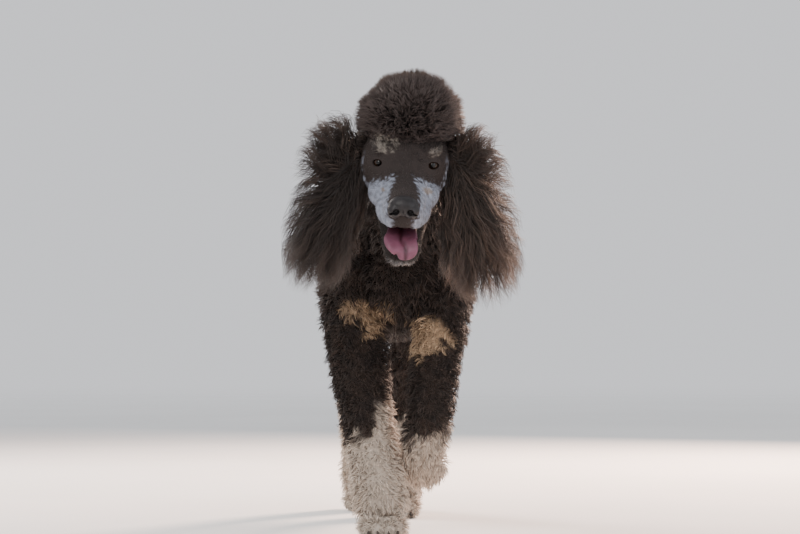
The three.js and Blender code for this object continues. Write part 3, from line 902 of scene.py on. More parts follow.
def tuft_mesh(name: str, paths: Rows, thick: Rows, uv: Rows, tints: Rows) -> Thing:
    """One mesh of many three-sided tapered tufts.

    Args:
        name: the mesh's name.
        paths: tufts by rings by 3, from root to tip.
        thick: the radius of each tuft at its root.
        uv: the place of each tuft on the skin's unwrap.
        tints: tufts by rings by 3, the colour along each tuft.

    Returns:
        The mesh.
    """
    count, rings = paths.shape[:2]
    tangent = unit(np.gradient(paths, axis=1))
    flat = np.abs(tangent[:, :1, 2:3]) < 0.8
    pole = np.where(flat, np.array([0.0, 0.0, 1.0]), np.array([1.0, 0.0, 0.0]))
    across = unit(np.cross(tangent, np.broadcast_to(pole, tangent.shape)))
    third = np.cross(tangent, across)
    t = np.linspace(0.0, 1.0, rings)
    taper = (1.0 - 0.82 * t**1.5) * (0.75 + 0.9 * t * (1.0 - t))
    body = rings - 1
    turns = np.arange(3) * 2.0 * math.pi / 3.0
    reach = thick[:, None, None, None] * taper[None, :body, None, None]
    ring = (
        across[:, :body, None, :] * np.cos(turns)[None, None, :, None]
        + third[:, :body, None, :] * np.sin(turns)[None, None, :, None]
    )
    sheet = (paths[:, :body, None, :] + ring * reach).reshape(count, body * 3, 3)
    points = np.concatenate([sheet, paths[:, -1:, :]], axis=1)
    each = body * 3 + 1
    quads = []
    for i in range(body - 1):
        for j in range(3):
            k = (j + 1) % 3
            quads.append((i * 3 + j, i * 3 + k, (i + 1) * 3 + k, (i + 1) * 3 + j))
    last = (body - 1) * 3
    tips = [(last + j, last + (j + 1) % 3, body * 3) for j in range(3)]
    foot = [(2, 1, 0)]
    offsets = (np.arange(count) * each)[:, None, None]
    quad_loops = (offsets + np.array(quads)[None]).reshape(-1)
    tri_loops = (offsets + np.array(tips + foot)[None]).reshape(-1)
    loops = np.concatenate([quad_loops, tri_loops]).astype(np.int32)
    quad_count = len(quad_loops) // 4
    tri_count = len(tri_loops) // 3
    starts = np.concatenate([np.arange(quad_count) * 4, quad_count * 4 + np.arange(tri_count) * 3])
    mesh = bpy.data.meshes.new(name)
    mesh.vertices.add(count * each)
    mesh.vertices.foreach_set("co", points.astype(np.float32).ravel())
    mesh.loops.add(len(loops))
    mesh.loops.foreach_set("vertex_index", loops)
    mesh.polygons.add(quad_count + tri_count)
    mesh.polygons.foreach_set("loop_start", starts.astype(np.int32))
    mesh.update(calc_edges=True)
    mesh.polygons.foreach_set("use_smooth", np.ones(quad_count + tri_count, dtype=bool))
    shade = np.concatenate([np.repeat(tints[:, :body], 3, axis=1), tints[:, -1:]], axis=1).reshape(-1, 3)
    paint(mesh, shade)
    around = np.concatenate([np.tile([-1.0, 0.0, 1.0], body), [0.0]]) * UV_HALF
    up = np.concatenate([np.repeat(t[:body], 3), [1.0]]) * 2.0 * UV_HALF - UV_HALF
    spot = uv[:, None, :] + np.stack([around, up], axis=1)[None]
    layer = mesh.uv_layers.new(name=BAKE_MAP)
    layer.data.foreach_set("uv", spot.reshape(-1, 2)[loops].astype(np.float32).ravel())
    mesh.validate()
    obj = bpy.data.objects.new(name, mesh)
    bpy.context.scene.collection.objects.link(obj)
    return obj


@dataclass
class Comb:
    """Grows tufts on a skin and combs them along the lie of the coat."""

    cut: Cut
    seed: int

    def herds(self, at: Rows) -> Rows:
        """The number of the leading tuft that each tuft leans to.

        Args:
            at: the tufts' roots.

        Returns:
            The numbers, one for each tuft.
        """
        rng = np.random.default_rng(self.seed + 50)
        leads = rng.choice(len(at), max(1, len(at) // self.cut.herd), replace=False)
        tree = KDTree(len(leads))
        for lead in leads:
            tree.insert(at[lead], int(lead))
        tree.balance()
        return np.array([tree.find(point)[1] for point in at])

    def paths(self, roots: Roots, lie: Rows, lengths: Rows) -> Rows:
        """Bends each tuft from its root to its tip.

        Args:
            roots: where the tufts grow.
            lie: the direction that the coat lies in at each root.
            lengths: how long each tuft is.

        Returns:
            Tufts by rings by 3.
        """
        rng = np.random.default_rng(self.seed)
        habit = self.cut
        swirl = Waves(26.0, self.seed + 1).vector(roots.at)
        flat = lie - (lie * roots.normal).sum(axis=1, keepdims=True) * roots.normal
        start = unit(roots.normal * habit.lift + flat * (1.0 - habit.lift) + swirl * habit.mess)
        wander = Waves(15.0, self.seed + 2).vector(roots.at) * habit.mess * 1.6
        end = unit(roots.normal * habit.stand + flat * (1.0 - habit.stand) + wander)
        t = np.linspace(0.0, 1.0, habit.rings)[None, :, None]
        reach = lengths[:, None, None]
        path = roots.at[:, None] - roots.normal[:, None] * 1.2
        path = path + reach * (start[:, None] * (t - t * t / 2) + end[:, None] * t * t / 2)
        lead = self.herds(roots.at)
        pull = path[lead, -1] - path[:, -1]
        limit = np.minimum(1.0, 0.5 * lengths / np.maximum(np.linalg.norm(pull, axis=1), 1e-6))
        path = path + (pull * limit[:, None])[:, None] * habit.gather * t**2
        across = unit(np.cross(start, rng.normal(size=start.shape)[lead]))
        third = np.cross(start, across)
        phase = rng.uniform(0.0, 2.0 * math.pi, size=(len(roots), 1))[lead]
        phase = phase + rng.normal(0.0, 0.5, size=phase.shape)
        turn = phase + 2.0 * math.pi * habit.turns * t[..., 0]
        sway = across[:, None] * np.cos(turn)[..., None] + third[:, None] * np.sin(turn)[..., None]
        path = path + sway * habit.curl * np.sqrt(t)
        path[..., 2] = np.maximum(path[..., 2], GROUND_GAP)
        return path

    def grow(
        self,
        name: str,
        roots: Roots,
        lie: Rows,
        tints: Rows,
        lengths: Rows | None = None,
        tip_light: float = 1.5,
    ) -> list[Thing]:
        """Makes the tufts, in pieces of a bearable size.

        Args:
            name: the pieces' name, to which each adds its number.
            roots: where the tufts grow.
            lie: the direction that the coat lies in at each root.
            tints: the colour at each root.
            lengths: how long each tuft is, where it isn't the cut's own length.
            tip_light: how much lighter a tip is than its root, whose darkening is painted shade.

        Returns:
            The pieces.
        """
        rng = np.random.default_rng(self.seed + 3)
        count = len(roots)
        if lengths is None:
            lengths = np.full(count, self.cut.length)
        lengths = lengths * (1.0 + self.cut.spread * rng.normal(size=count)).clip(0.6, 1.4)
        lengths = lengths * (1.0 + 0.12 * Waves(34.0, self.seed + 4).value(roots.at))
        paths = self.paths(roots, lie, lengths)
        thick = self.cut.thick * rng.uniform(0.8, 1.2, size=count)
        t = np.linspace(0.0, 1.0, self.cut.rings)[None, :, None]
        vary = rng.normal(1.0, self.cut.grizzle, size=(count, 1, 1)).clip(0.45, 1.8)
        # Painted shade: each tuft is darker at its root and lighter at its tip; the lighter tip is partly
        # the hair's own colour.
        shade = tints[:, None] * vary * (0.66 + (tip_light - 0.66) * t**1.2)
        per_tuft = 6 * (self.cut.rings - 2) + 4
        most = PIECE_TRIANGLES // per_tuft
        order = np.argsort(roots.at[:, 1], kind="stable")
        pieces = []
        for number, part in enumerate(np.array_split(order, max(1, math.ceil(count / most)))):
            label = f"{name}_{number + 1}"
            pieces.append(tuft_mesh(label, paths[part], thick[part], roots.uv[part], shade[part]))
        return pieces


# The dog's parts


@dataclass
class Place:
    """Carries meshes from the dog's frame, in millimetres, to the row's frame, in metres."""

    shift: Vector

    @classmethod
    def from_frame(cls) -> "Place":
        """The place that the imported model's left eye gives.

        Returns:
            The place.
        """
        low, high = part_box("eye_left")
        middle = (Vector(low) + Vector(high)) * 500.0
        return cls(middle - EYE_LEFT_MIDDLE)

    def settle(self, piece: Thing, material: Material, slot: str, nodes: list[str]) -> None:
        """Puts a piece in its place, dresses it and ties it to the root.

        Args:
            piece: the mesh, in millimetres.
            material: its finish.
            slot: the record's slot that the finish belongs to; not used.
            nodes: the solids that the piece stands for.
        """
        piece.data.transform(Matrix.Scale(0.001, 4) @ Matrix.Translation(self.shift))
        piece.data.update()
        piece.data.materials.clear()
        piece.data.materials.append(material)
        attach(piece, ROOT)
        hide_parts(*nodes)
        log.info("%s: %d faces", piece.name, len(piece.data.polygons))


@dataclass(frozen=True)
class PawSite:
    """Where a paw stands and which way it points."""

    name: str
    at: Vector
    toe: Vector
    up: Vector

    def place(self, aside: float, ahead: float, high: float) -> Vector:
        """A point of the dog's frame, given in the paw's own directions."""
        side = self.toe.cross(self.up).normalized()
        return self.at + side * aside + self.toe * ahead + self.up * high

    def turn(self) -> Quaternion:
        """The turn that carries +X, -Y and +Z to the paw's side, toe and up.

        Returns:
            The turn.
        """
        side = self.toe.cross(self.up).normalized()
        matrix = Matrix((side, -self.toe, self.up)).transposed()
        return matrix.to_quaternion()


@dataclass
class Paws:
    """Four paws: toes, pads and claws."""

    paw_radii: Triple = (30.0, 29.0, 18.0)
    toe_radii: Triple = (11.5, 19.0, 12.0)
    tip_radii: Triple = (7.5, 9.0, 5.2)
    pad_radii: Triple = (17.0, 14.0, 5.8)
    toes: tuple[Pair, ...] = ((-21.0, 16.0), (-8.0, 27.0), (8.0, 27.0), (21.0, 16.0))
    claw_r: float = 3.6
    claw_length: float = 19.0
    claw_drop: float = 32.0
    claw_narrow: float = 0.8
    claw_bend: float = 2.6

    def __post_init__(self) -> None:
        """Sets the four paws where the legs end."""
        fore = Vector((0, -1, 0))
        up = Vector((0, 0, 1))
        lifted_toe = Vector((0, 0.62, -0.78)).normalized()
        lifted_up = Vector((0, -0.78, -0.62)).normalized()
        self.sites = [
            PawSite("forepaw_right", Vector((-24, -262, 0)), fore, up),
            PawSite("hindpaw_right", Vector((-57, 304, 0)), fore, up),
            PawSite("hindpaw_left", Vector((-3, 144, 0)), fore, up),
            PawSite("forepaw_left", Vector((32, -212, 118)), lifted_toe, lifted_up),
        ]

    def flesh(self, site: PawSite) -> list[Thing]:
        """The pad and the toes of one paw, as closed meshes that overlap.

        Args:
            site: where the paw stands.

        Returns:
            The meshes.
        """
        turn = site.turn()
        parts = [egg(site.place(0, 0, 17), self.paw_radii, turn, 24)]
        for aside, ahead in self.toes:
            parts.append(egg(site.place(aside, ahead, 12.5), self.toe_radii, turn, 20))
            parts.append(egg(site.place(aside, ahead + 10, 5.5), self.tip_radii, turn, 16))
        parts.append(egg(site.place(0, -3, 6), self.pad_radii, turn, 20))
        return parts

    def claws(self) -> Thing:
        """All claws, each a bent cone.

        Returns:
            The claws as one mesh.
        """
        made = []
        for site in self.sites:
            turn = site.turn() @ nod(self.claw_drop)
            for aside, ahead in self.toes:
                claw = spike(self.claw_r, 0.5, self.claw_length, 12)
                for vertex in claw.data.vertices:
                    along = vertex.co.z / self.claw_length + 0.5
                    vertex.co.x *= self.claw_narrow
                    vertex.co.y += self.claw_bend * along * along
                claw.data.transform((turn @ nod(90)).to_matrix().to_4x4())
                claw.data.transform(Matrix.Translation(site.place(aside, ahead + 20, 11.5)))
                made.append(claw)
        return shade_smooth(join(made, "claws"), sharp=50)


@dataclass
class Carcass:
    """Trunk, neck, legs and tail under the coat, in sections from end to end."""

    torso: tuple[Station, ...] = (
        Station("point of the shoulder", 4, -236, 372, 62, 64),
        Station("forechest", 3, -190, 388, 88, 98),
        Station("shoulders", -6, -110, 408, 98, 126),
        Station("ribs", -19, -10, 407, 100, 118),
        Station("loin", -24, 80, 423, 96, 102),
        Station("flank", -28, 165, 435, 84, 88),
        Station("hips", -30, 235, 446, 80, 78),
        Station("rump", -30, 282, 452, 62, 60),
    )
    neck: tuple[Station, ...] = (
        Station("withers", 4, -130, 448, 76, 92),
        Station("base of the neck", 6, -225, 470, 66, 88),
        Station("throat", 8, -305, 510, 54, 70),
        Station("nape", 10, -380, 552, 46, 58),
        Station("back of the skull", 12, -420, 574, 42, 52),
    )
    fore_right: tuple[Station, ...] = (
        Station("shoulder", -46, -140, 462, 36, 56),
        Station("upper arm", -72, -185, 400, 40, 66),
        Station("point of the elbow", -72, -190, 330, 42, 58),
        Station("elbow", -62, -196, 270, 43, 46),
        Station("forearm", -56, -208, 220, 41, 39),
        Station("wrist", -44, -224, 150, 37, 37),
        Station("pastern", -32, -238, 80, 39, 39),
        Station("top of the paw", -25, -246, 36, 37, 39),
    )
    fore_left: tuple[Station, ...] = (
        Station("shoulder", 46, -140, 458, 34, 54),
        Station("upper arm", 66, -186, 398, 38, 64),
        Station("point of the elbow", 64, -206, 334, 38, 54),
        Station("elbow", 57, -222, 280, 37, 42),
        Station("forearm", 49, -240, 230, 35, 36),
        Station("wrist", 43, -258, 178, 33, 34),
        Station("pastern", 36, -246, 136, 32, 28),
        Station("top of the paw", 31, -228, 112, 29, 22),
    )
    hind_right: tuple[Station, ...] = (
        Station("hip", -62, 212, 460, 34, 56),
        Station("thigh", -80, 206, 395, 38, 70),
        Station("knee", -80, 198, 325, 40, 58),
        Station("calf", -72, 236, 252, 38, 44),
        Station("hock", -65, 300, 186, 36, 38),
        Station("shank", -62, 322, 130, 35, 36),
        Station("pastern", -60, 324, 76, 36, 36),
        Station("top of the paw", -58, 318, 36, 36, 38),
    )
    hind_left: tuple[Station, ...] = (
        Station("hip", 6, 205, 460, 34, 56),
        Station("thigh", 26, 176, 395, 38, 70),
        Station("knee", 28, 138, 322, 40, 58),
        Station("calf", 20, 160, 252, 38, 44),
        Station("hock", 8, 212, 188, 36, 38),
        Station("shank", 3, 206, 132, 35, 36),
        Station("pastern", 0, 178, 76, 36, 36),
        Station("top of the paw", -2, 158, 36, 36, 38),
    )
    tail: tuple[Station, ...] = (
        Station("root of the tail", -30, 270, 500, 26, 26),
        Station("stem", -29, 310, 530, 20, 20),
        Station("bend", -27, 350, 570, 17, 17),
        Station("tip", -25, 385, 612, 17, 17),
    )
    pom_r: float = 37.0

    def flesh(self) -> list[Thing]:
        """The closed meshes that melt into the body's skin.

        Returns:
            The meshes.
        """
        parts = [
            Sweep(self.torso, keel=0.22, sides=40, rings=34).build("torso", -TRUNK_CORE),
            Sweep(self.neck).build("neck", -TRUNK_CORE),
            Sweep(self.tail, sides=20, rings=12).build("tail", 0.0),
            egg(POM_AT, (self.pom_r, self.pom_r, self.pom_r), Quaternion()),
        ]
        for name, limb, dome in (
            ("fore_right", self.fore_right, 0.4),
            ("fore_left", self.fore_left, 0.5),
            ("hind_right", self.hind_right, 0.4),
            ("hind_left", self.hind_left, 0.4),
        ):
            parts.append(Sweep(limb, dome=dome).build(name, -LEG_CORE))
        return parts


# How far an ear's strands reach, as shares of the fan, and how many of them do
STRAND_REACH = [1.02, 0.94, 0.72]
STRAND_SHARE = [0.6, 0.22, 0.18]

# Neighbouring guide strands that wave as one lock
LOCK_GUIDES = 3

# How much lighter the ears' thin hair is than the coat
EAR_LIGHT = 1.7


@dataclass
class Ear:
    """One ear: a cupped flap, and long hair that fans out from it."""

    side: Side
    root: Vector
    fan: Vector
    wide: float
    high: float
    lean: float
    seed: int
    flap_thick: float = 8.0
    guides: int = 192
    children: int = 16
    rings: int = 8

    def tilt(self) -> Quaternion:
        """The lean of the fan in the plane across the dog."""
        return roll(-self.lean)

    def flesh(self) -> list[Thing]:
        """The flap and its root, as closed meshes that overlap.

        Returns:
            The meshes.
        """
        middle = self.root.lerp(self.fan, 0.62)
        flap = egg(middle, (self.wide * 0.5, self.flap_thick, self.high * 0.42), self.tilt())
        cup = egg(
            middle + Vector((0, self.flap_thick + 1, 0)),
            (self.wide * 0.36, self.flap_thick, self.high * 0.3),
            self.tilt(),
        )
        cut(flap, cup)
        inner = self.root - Vector((self.side.value * 14, 0, 0))
        half = self.root.lerp(self.fan, 0.4)
        stations = (
            Station("in the skull", *inner, 22, 12),
            Station("root", *self.root, 24, 11),
            Station("flap", *half, 26, 9),
        )
        base = Sweep(stations, side=Vector((0, 0, 1)), sides=20, rings=8).build("ear_base")
        return [flap, base]

    def strand_paths(self, rng: Draw) -> tuple[Rows, Rows]:
        """Bends the guide strands from the flap to the edge of the fan.

        Args:
            rng: the random draw.

        Returns:
            Guides by rings by 3, and how far round the fan each guide ends, in degrees.
        """
        count = self.guides
        side = self.side.value
        even = np.linspace(96.0, -150.0, 3 * count // 4)
        low = rng.normal(-82.0, 26.0, count - len(even)).clip(-150.0, 0.0)
        angle = -np.sort(-np.concatenate([even, low])) + rng.uniform(-1.5, 1.5, count)
        turn = np.radians(angle)
        reach = rng.choice(STRAND_REACH, size=count, p=STRAND_SHARE)
        reach = reach * rng.uniform(0.97, 1.03, count)
        depth = rng.uniform(-30.0, 40.0, count)
        outward = np.sign(np.cos(turn)) * np.abs(np.cos(turn)) ** 0.75
        upward = np.sign(np.sin(turn)) * np.abs(np.sin(turn)) ** 0.85
        bell = 1.0 + 0.16 * ramp(0.0, -0.8, upward)
        fall = 1.0 + 0.07 * ramp(0.0, -0.8, upward)
        across = side * self.wide * reach * outward * bell
        tip = np.column_stack([across, depth, self.high * reach * upward * fall])
        lean = np.array(self.tilt().to_matrix())
        fan = np.array(self.fan)
        root = np.array(self.root)
        tip = tip @ lean.T + fan
        start = root + (fan - root) * rng.uniform(0.05, 0.55, (count, 1))
        start = start + (tip - start) * 0.08
        start[:, 1] = root[1] + depth * 0.32
        span = np.linalg.norm(tip - start, axis=1, keepdims=True)
        share = np.clip((angle + 130.0) / 220.0, 0.0, 1.0)
        leave = np.radians(-104.0 + 150.0 * share**1.6)
        arrive = np.radians(np.maximum(angle, -112.0) * 0.45 - 46.0 + rng.normal(0.0, 12.0, count))
        flat = np.zeros(count)
        out = np.column_stack([side * np.cos(leave), flat, np.sin(leave)]) * span
        home = np.column_stack([side * np.cos(arrive), flat, np.sin(arrive)]) * span * 0.9
        t = np.linspace(0.0, 1.0, self.rings)[None, :, None]
        path = (
            start[:, None] * (2 * t**3 - 3 * t**2 + 1)
            + out[:, None] * (t**3 - 2 * t**2 + t)
            + tip[:, None] * (3 * t**2 - 2 * t**3)
            + home[:, None] * (t**3 - t**2)
        )
        along = unit(np.gradient(path, axis=1))
        across = np.stack([-along[..., 2], np.zeros_like(along[..., 0]), along[..., 0]], axis=-1)
        lock = np.arange(count) // LOCK_GUIDES
        phase = rng.uniform(0.0, 2.0 * math.pi, (count, 1))[lock] + rng.normal(0.0, 0.35, (count, 1))
        waves = span / rng.uniform(42.0, 66.0, (count, 1))[lock]
        bend = rng.uniform(3.5, 7.5, (count, 1))[lock]
        sway = np.sin(phase + 2.0 * math.pi * waves * t[..., 0]) * bend
        sway = sway * np.minimum(1.0, 2.5 * t[..., 0])
        path = path + across * sway[..., None]
        path[..., 1] += np.cos(phase + 2.0 * math.pi * waves * t[..., 0]) * 0.7 * bend
        return path, angle

    def hair(self, name: str, uv_of: "SkinMap", palette: Palette) -> Thing:
        """The ear's long hair as one mesh.

        Args:
            name: the mesh's name.
            uv_of: finds the place on the skin's unwrap below a point.
            palette: the coat's colours.

        Returns:
            The mesh.
        """
        rng = np.random.default_rng(self.seed)
        guides, angle = self.strand_paths(rng)
        t = np.linspace(0.0, 1.0, self.rings)[None, :, None]
        total = self.guides * self.children
        owner = np.repeat(np.arange(self.guides), self.children)
        spread = rng.normal(size=(total, 1, 3)) * np.array([4.3, 5.0, 4.3])
        narrow = 1.0 - 0.38 * t**1.2
        paths = guides[owner] + spread * narrow
        frizz = Waves(20.0, self.seed + 5)
        for ring in range(self.rings):
            drift = frizz.vector(paths[:, ring] + spread[:, 0] * 6.0)
            paths[:, ring] += drift * 2.2 * ring / self.rings
        shorten = rng.uniform(0.92, 1.05, (total, 1, 1))
        paths = paths[:, :1] + (paths - paths[:, :1]) * shorten
        low, high = HAIR_SPAN
        over = np.maximum(paths[..., 0] - high, 0.0) + np.minimum(paths[..., 0] - low, 0.0)
        paths[..., 0] -= 0.85 * over
        base = np.array(palette.black) * EAR_LIGHT
        warm = np.array(palette.warm) * EAR_LIGHT
        pale = rng.beta(0.8, 2.6, (self.guides, 1))
        # The left ear's strands are paler and warmer: partly its own lighter inner hair, partly painted
        # warm back light.
        if self.side is Side.LEFT:
            pale = np.clip(pale * 1.7 + 0.05, 0.0, 1.3)
            warm = warm * 1.5
        tint = (base * (1.0 - pale).clip(0.0, 1.0) + warm * pale)[owner]
        vary = rng.normal(1.0, 0.22, (total, 1, 1)).clip(0.5, 1.7)
        # Painted rim light on the left ear's outer strands, brightest at the tips, and painted shade at
        # each strand's root.
        painted_rim_glow = 0.9 + 0.9 * (self.side is Side.LEFT) * ramp(-100.0, -40.0, angle)[owner][:, None, None]
        shade = tint[:, None] * vary * (0.5 + painted_rim_glow * t**2)
        thick = rng.uniform(0.45, 0.72, total)
        return tuft_mesh(name, paths, thick, uv_of.find(paths[:, 0]), shade)


EARS = (
    Ear(
        Side.RIGHT, root=Vector((-44, -418, 548)), fan=Vector((-103, -425, 474)), wide=50,
        high=114, lean=-9, seed=21,
    ),
    Ear(
        Side.LEFT, root=Vector((66, -418, 546)), fan=Vector((105, -425, 458)), wide=56, high=116,
        lean=7, seed=22,
    ),
)


@dataclass(frozen=True)
class Fold:
    """A rounded fold on each side of the head, placed by its own s, f and u."""

    name: str
    s: float
    f: float
    u: float
    radii: Triple
    shift: float = 0.0


@dataclass(frozen=True)
class EyeTints:
    """The eye's rings of colour from the middle outwards, linear."""

    pupil: Triple = (0.002, 0.002, 0.002)
    iris: Triple = (0.024, 0.012, 0.007)
    edge: Triple = (0.006, 0.004, 0.003)
    white: Triple = (0.07, 0.045, 0.036)


FOLDS = (
    Fold("brow", 29, -12, 17, (19.0, 20.0, 10.0)),
    Fold("cheek", 38, -36, -26, (20.5, 32.0, 25.0), shift=-1),
    Fold("jowl", 28, 6, -37, (21.0, 44.0, 22.0), shift=-1),
    Fold("side of the muzzle", 20, 50, -47, (17.5, 46.0, 21.0)),
    Fold("lip", 14, 84, -47, (15.5, 26.0, 16.5)),
)


@dataclass
class Head:
    """Skull, jaw and the folds of the face, with eyes, nose, tongue and teeth."""

    eye_span: float = EYE_SPAN - 1.5
    eye_r: float = EYE_R
    lid: float = 2.8
    lid_gap: Triple = (9.2, 5.3, 9.0)
    cornea: float = 1.5
    groove: float = 3.0
    rim: float = 3.4
    gum: float = 8.0
    eye_tints: EyeTints = EyeTints()

    def __post_init__(self) -> None:
        """Sets the head's turn in the dog's frame."""
        self.side = HEAD_TURN @ Vector((1, 0, 0))

    def station(self, name: str, f: float, u: float, wide: float, deep: float, s: float = 0.0) -> Station:
        """A section of the head, given in the head's own directions."""
        return Station(name, *on_head(s, f, u), wide, deep)

    def jaw_station(self, name: str, f: float, u: float, wide: float, deep: float) -> Station:
        """A section of the open jaw, given as it would be with the mouth shut."""
        return Station(name, *on_jaw(0.0, f, u), wide, deep)

    def eye_at(self, side: Side) -> Vector:
        """The middle of an eye."""
        return on_head(side.value * self.eye_span, -5.0, 0.0)

    def eye_turn(self, side: Side) -> Quaternion:
        """The turn that carries X, Y and Z to an eye's across, up and look.

        Args:
            side: which eye.

        Returns:
            The turn.
        """
        look = HEAD_TURN @ Vector((side.value * 0.17, -0.97, 0.1)).normalized()
        across = (HEAD_TURN @ Vector((0, 0, 1))).cross(look).normalized()
        up = look.cross(across).normalized()
        return Matrix((across, up, look)).transposed().to_quaternion()

    def flesh(self) -> list[Thing]:
        """The closed meshes that melt into the head's skin.

        Returns:
            The meshes.
        """
        station = self.station
        skull = (
            station("nape", -128, -12, 40, 40),
            station("back of the skull", -95, -4, 50, 50),
            station("ears", -55, -4, 60, 52, -1),
            station("temples", -22, -10, 59, 46, -1.5),
            station("eyes", 4, -20, 46, 35, -1),
            station("stop", 30, -28, 34, 27),
            station("bridge", 65, -31, 30, 26),
            station("lips", 98, -34, 27.5, 24.5),
            station("nose", 110, -35, 25, 22),
        )
        jaw = self.jaw_station
        lower = (
            jaw("joint", -46, -52, 40, 24),
            jaw("cheek", -10, -58, 38, 22),
            jaw("back teeth", 28, -62, 31, 18),
            jaw("fangs", 62, -64, 25, 16),
            jaw("chin", 84, -64, 21, 15.5),
        )
        parts = [
            Sweep(skull, side=self.side, dome=0.5, sides=36, rings=32).build("skull"),
            Sweep(lower, side=self.side, dome=0.6, sides=32, rings=20).build("jaw"),
            egg(CROWN_AT, CROWN_CORE, HEAD_TURN),
        ]
        for side in Side:
            s = side.value
            parts.append(egg(self.eye_at(side), (self.eye_r + self.lid,) * 3, HEAD_TURN))
            for fold in FOLDS:
                at = on_head(s * fold.s + fold.shift, fold.f, fold.u)
                parts.append(egg(at, fold.radii, HEAD_TURN))
        return parts

    def open_up(self, skin: Thing) -> None:
        """Cuts the mouth's hollow and the gaps between the lids.

        Args:
            skin: the head's closed skin.
        """
        cut(skin, egg(on_head(*PALATE_AT), PALATE_R, HEAD_TURN))
        cut(skin, egg(on_jaw(*TROUGH_AT), TROUGH_R, JAW_TURN))
        for side in Side:
            turn = self.eye_turn(side)
            look = turn @ Vector((0, 0, 1))
            cut(skin, egg(self.eye_at(side) + look * self.eye_r, self.lid_gap, turn))

    def eye(self, side: Side) -> Thing:
        """One eyeball with a raised cornea, its rings of colour kept in its vertices.

        Args:
            side: which eye.

        Returns:
            The eyeball.
        """
        ball = egg(Vector(), (1.0, 1.0, 1.0), Quaternion(), 48)
        points = coordinates(ball.data)
        away = np.arccos(np.clip(points[:, 2], -1.0, 1.0))
        points *= self.eye_r
        points[:, 2] += self.cornea * (1.0 - ramp(0.0, 0.62, away))
        set_coordinates(ball.data, points)
        tints = self.eye_tints
        tint = np.tile(tints.pupil, (len(points), 1))
        rings = ((0.30, 0.38, tints.iris), (0.54, 0.64, tints.edge), (0.74, 0.9, tints.white))
        for start, stop, colour in rings:
            tint = blend(tint, colour, ramp(start, stop, away)[:, None])
        paint(ball.data, tint)
        turn = self.eye_turn(side)
        ball.data.transform(Matrix.LocRotScale(self.eye_at(side), turn, None))
        ball.name = "eyeball_left" if side is Side.LEFT else "eyeball_right"
        return shade_smooth(ball)

    def nose(self) -> Thing:
        """The nose leather, with its wings, nostrils and the groove between them.

        Returns:
            The nose.
        """
        parts = [
            egg(on_head(0, 116, -24), (20.5, 14.0, 14.0), HEAD_TURN),
            egg(on_head(11, 119, -29), (10.5, 12.0, 11.0), HEAD_TURN),
            egg(on_head(-11, 119, -29), (10.5, 12.0, 11.0), HEAD_TURN),
            egg(on_head(0, 110, -40), (9.0, 9.0, 13.0), HEAD_TURN),
        ]
        nose = fuse(parts, "nose_leather", 0.8, 3)
        for s in (-1, 1):
            slant = HEAD_TURN @ roll(28 * s)
            cut(nose, egg(on_head(s * 9.5, 133, -29), (5.2, 10.0, 4.6), slant, 24))
            cut(nose, egg(on_head(s * 16, 130, -32), (5.0, 7.0, 1.7), slant, 20))
        cut(nose, egg(on_head(0, 133, -36), (1.0, 6.5, 13.0), HEAD_TURN, 20))
        apply_modifier(nose, "SMOOTH", factor=0.4, iterations=2)
        return shade_smooth(nose)

    def tongue(self) -> Thing:
        """The tongue, out over the lower lip, with its groove and turned-up edges.

        Returns:
            The tongue.
        """
        station = self.station
        stations = (
            station("root", 6, -66, 16, 6),
            station("middle", 40, -73, 18, 5.5),
            station("over the teeth", 75, -78, 20.5, 5, -0.5),
            station("bend", 92, -83.5, 23, 4.6, -1),
            station("hanging", 102, -91.5, 16.5, 4, 6.5),
            station("tip", 105, -100, 11, 3.4, 7.5),
        )
        sweep = Sweep(stations, side=self.side, dome=1.0, sides=40, rings=36)
        tongue = sweep.build("tongue_flesh")
        points = coordinates(tongue.data)
        s, f = head_frame(points)[:, :2].T
        middle = 8.0 * ramp(88.0, 106.0, f) - 2.0
        groove = np.exp(-(((s - middle) / 2.4) ** 2)) * self.groove
        rim = np.clip(np.abs(s - middle) / 20.0, 0.0, 1.0) ** 2 * self.rim
        rim += 0.08 * np.clip(s, 0.0, 20.0) * ramp(62.0, 84.0, f)
        normals = vertex_normals(tongue.data)
        up = np.array(HEAD_TURN @ Vector((0, -0.45, 0.9)))
        top = np.clip(normals @ up, 0.0, 1.0)
        points -= up * (groove * top)[:, None]
        points += up * rim[:, None]
        set_coordinates(tongue.data, points)
        finish = TongueFinish()
        # Painted shade: the tongue is darker along its groove and towards its root in the mouth.
        deep = np.clip(groove / self.groove + 0.7 * (1.0 - ramp(62.0, 96.0, f)), 0.0, 1.0)
        paint(tongue.data, blend(finish.pale, finish.deep, deep[:, None]))
        apply_modifier(tongue, "SUBSURF", levels=1, render_levels=1)
        return shade_smooth(tongue)

    def teeth(self) -> Thing:
        """The lower teeth: cutters between two fangs, and cheek teeth behind.

        Returns:
            The teeth as one mesh.
        """
        made = []
        for tooth in TEETH:
            for s in (-1, 1):
                cone = spike(tooth.r, tooth.r * 0.22, tooth.high + self.gum, 16, smoothness=0.4)
                cone.data.transform(JAW_TURN.to_matrix().to_4x4())
                up = -53.0 + (tooth.high - self.gum) / 2
                cone.data.transform(Matrix.Translation(on_jaw(s * tooth.aside, tooth.ahead, up)))
                made.append(cone)
        return shade_smooth(join(made, "teeth"), sharp=60)


@dataclass(frozen=True)
class Tooth:
    """One pair of lower teeth: aside and ahead, how thick and how high."""

    aside: float
    ahead: float
    r: float
    high: float


TEETH = (
    Tooth(aside=2.3, ahead=87.5, r=2.1, high=4),
    Tooth(aside=6.4, ahead=86, r=2.2, high=4.4),
    Tooth(aside=11, ahead=82, r=3, high=10),
    Tooth(aside=14, ahead=66, r=2.8, high=4.5),
    Tooth(aside=15.5, ahead=54, r=3.2, high=5),
)


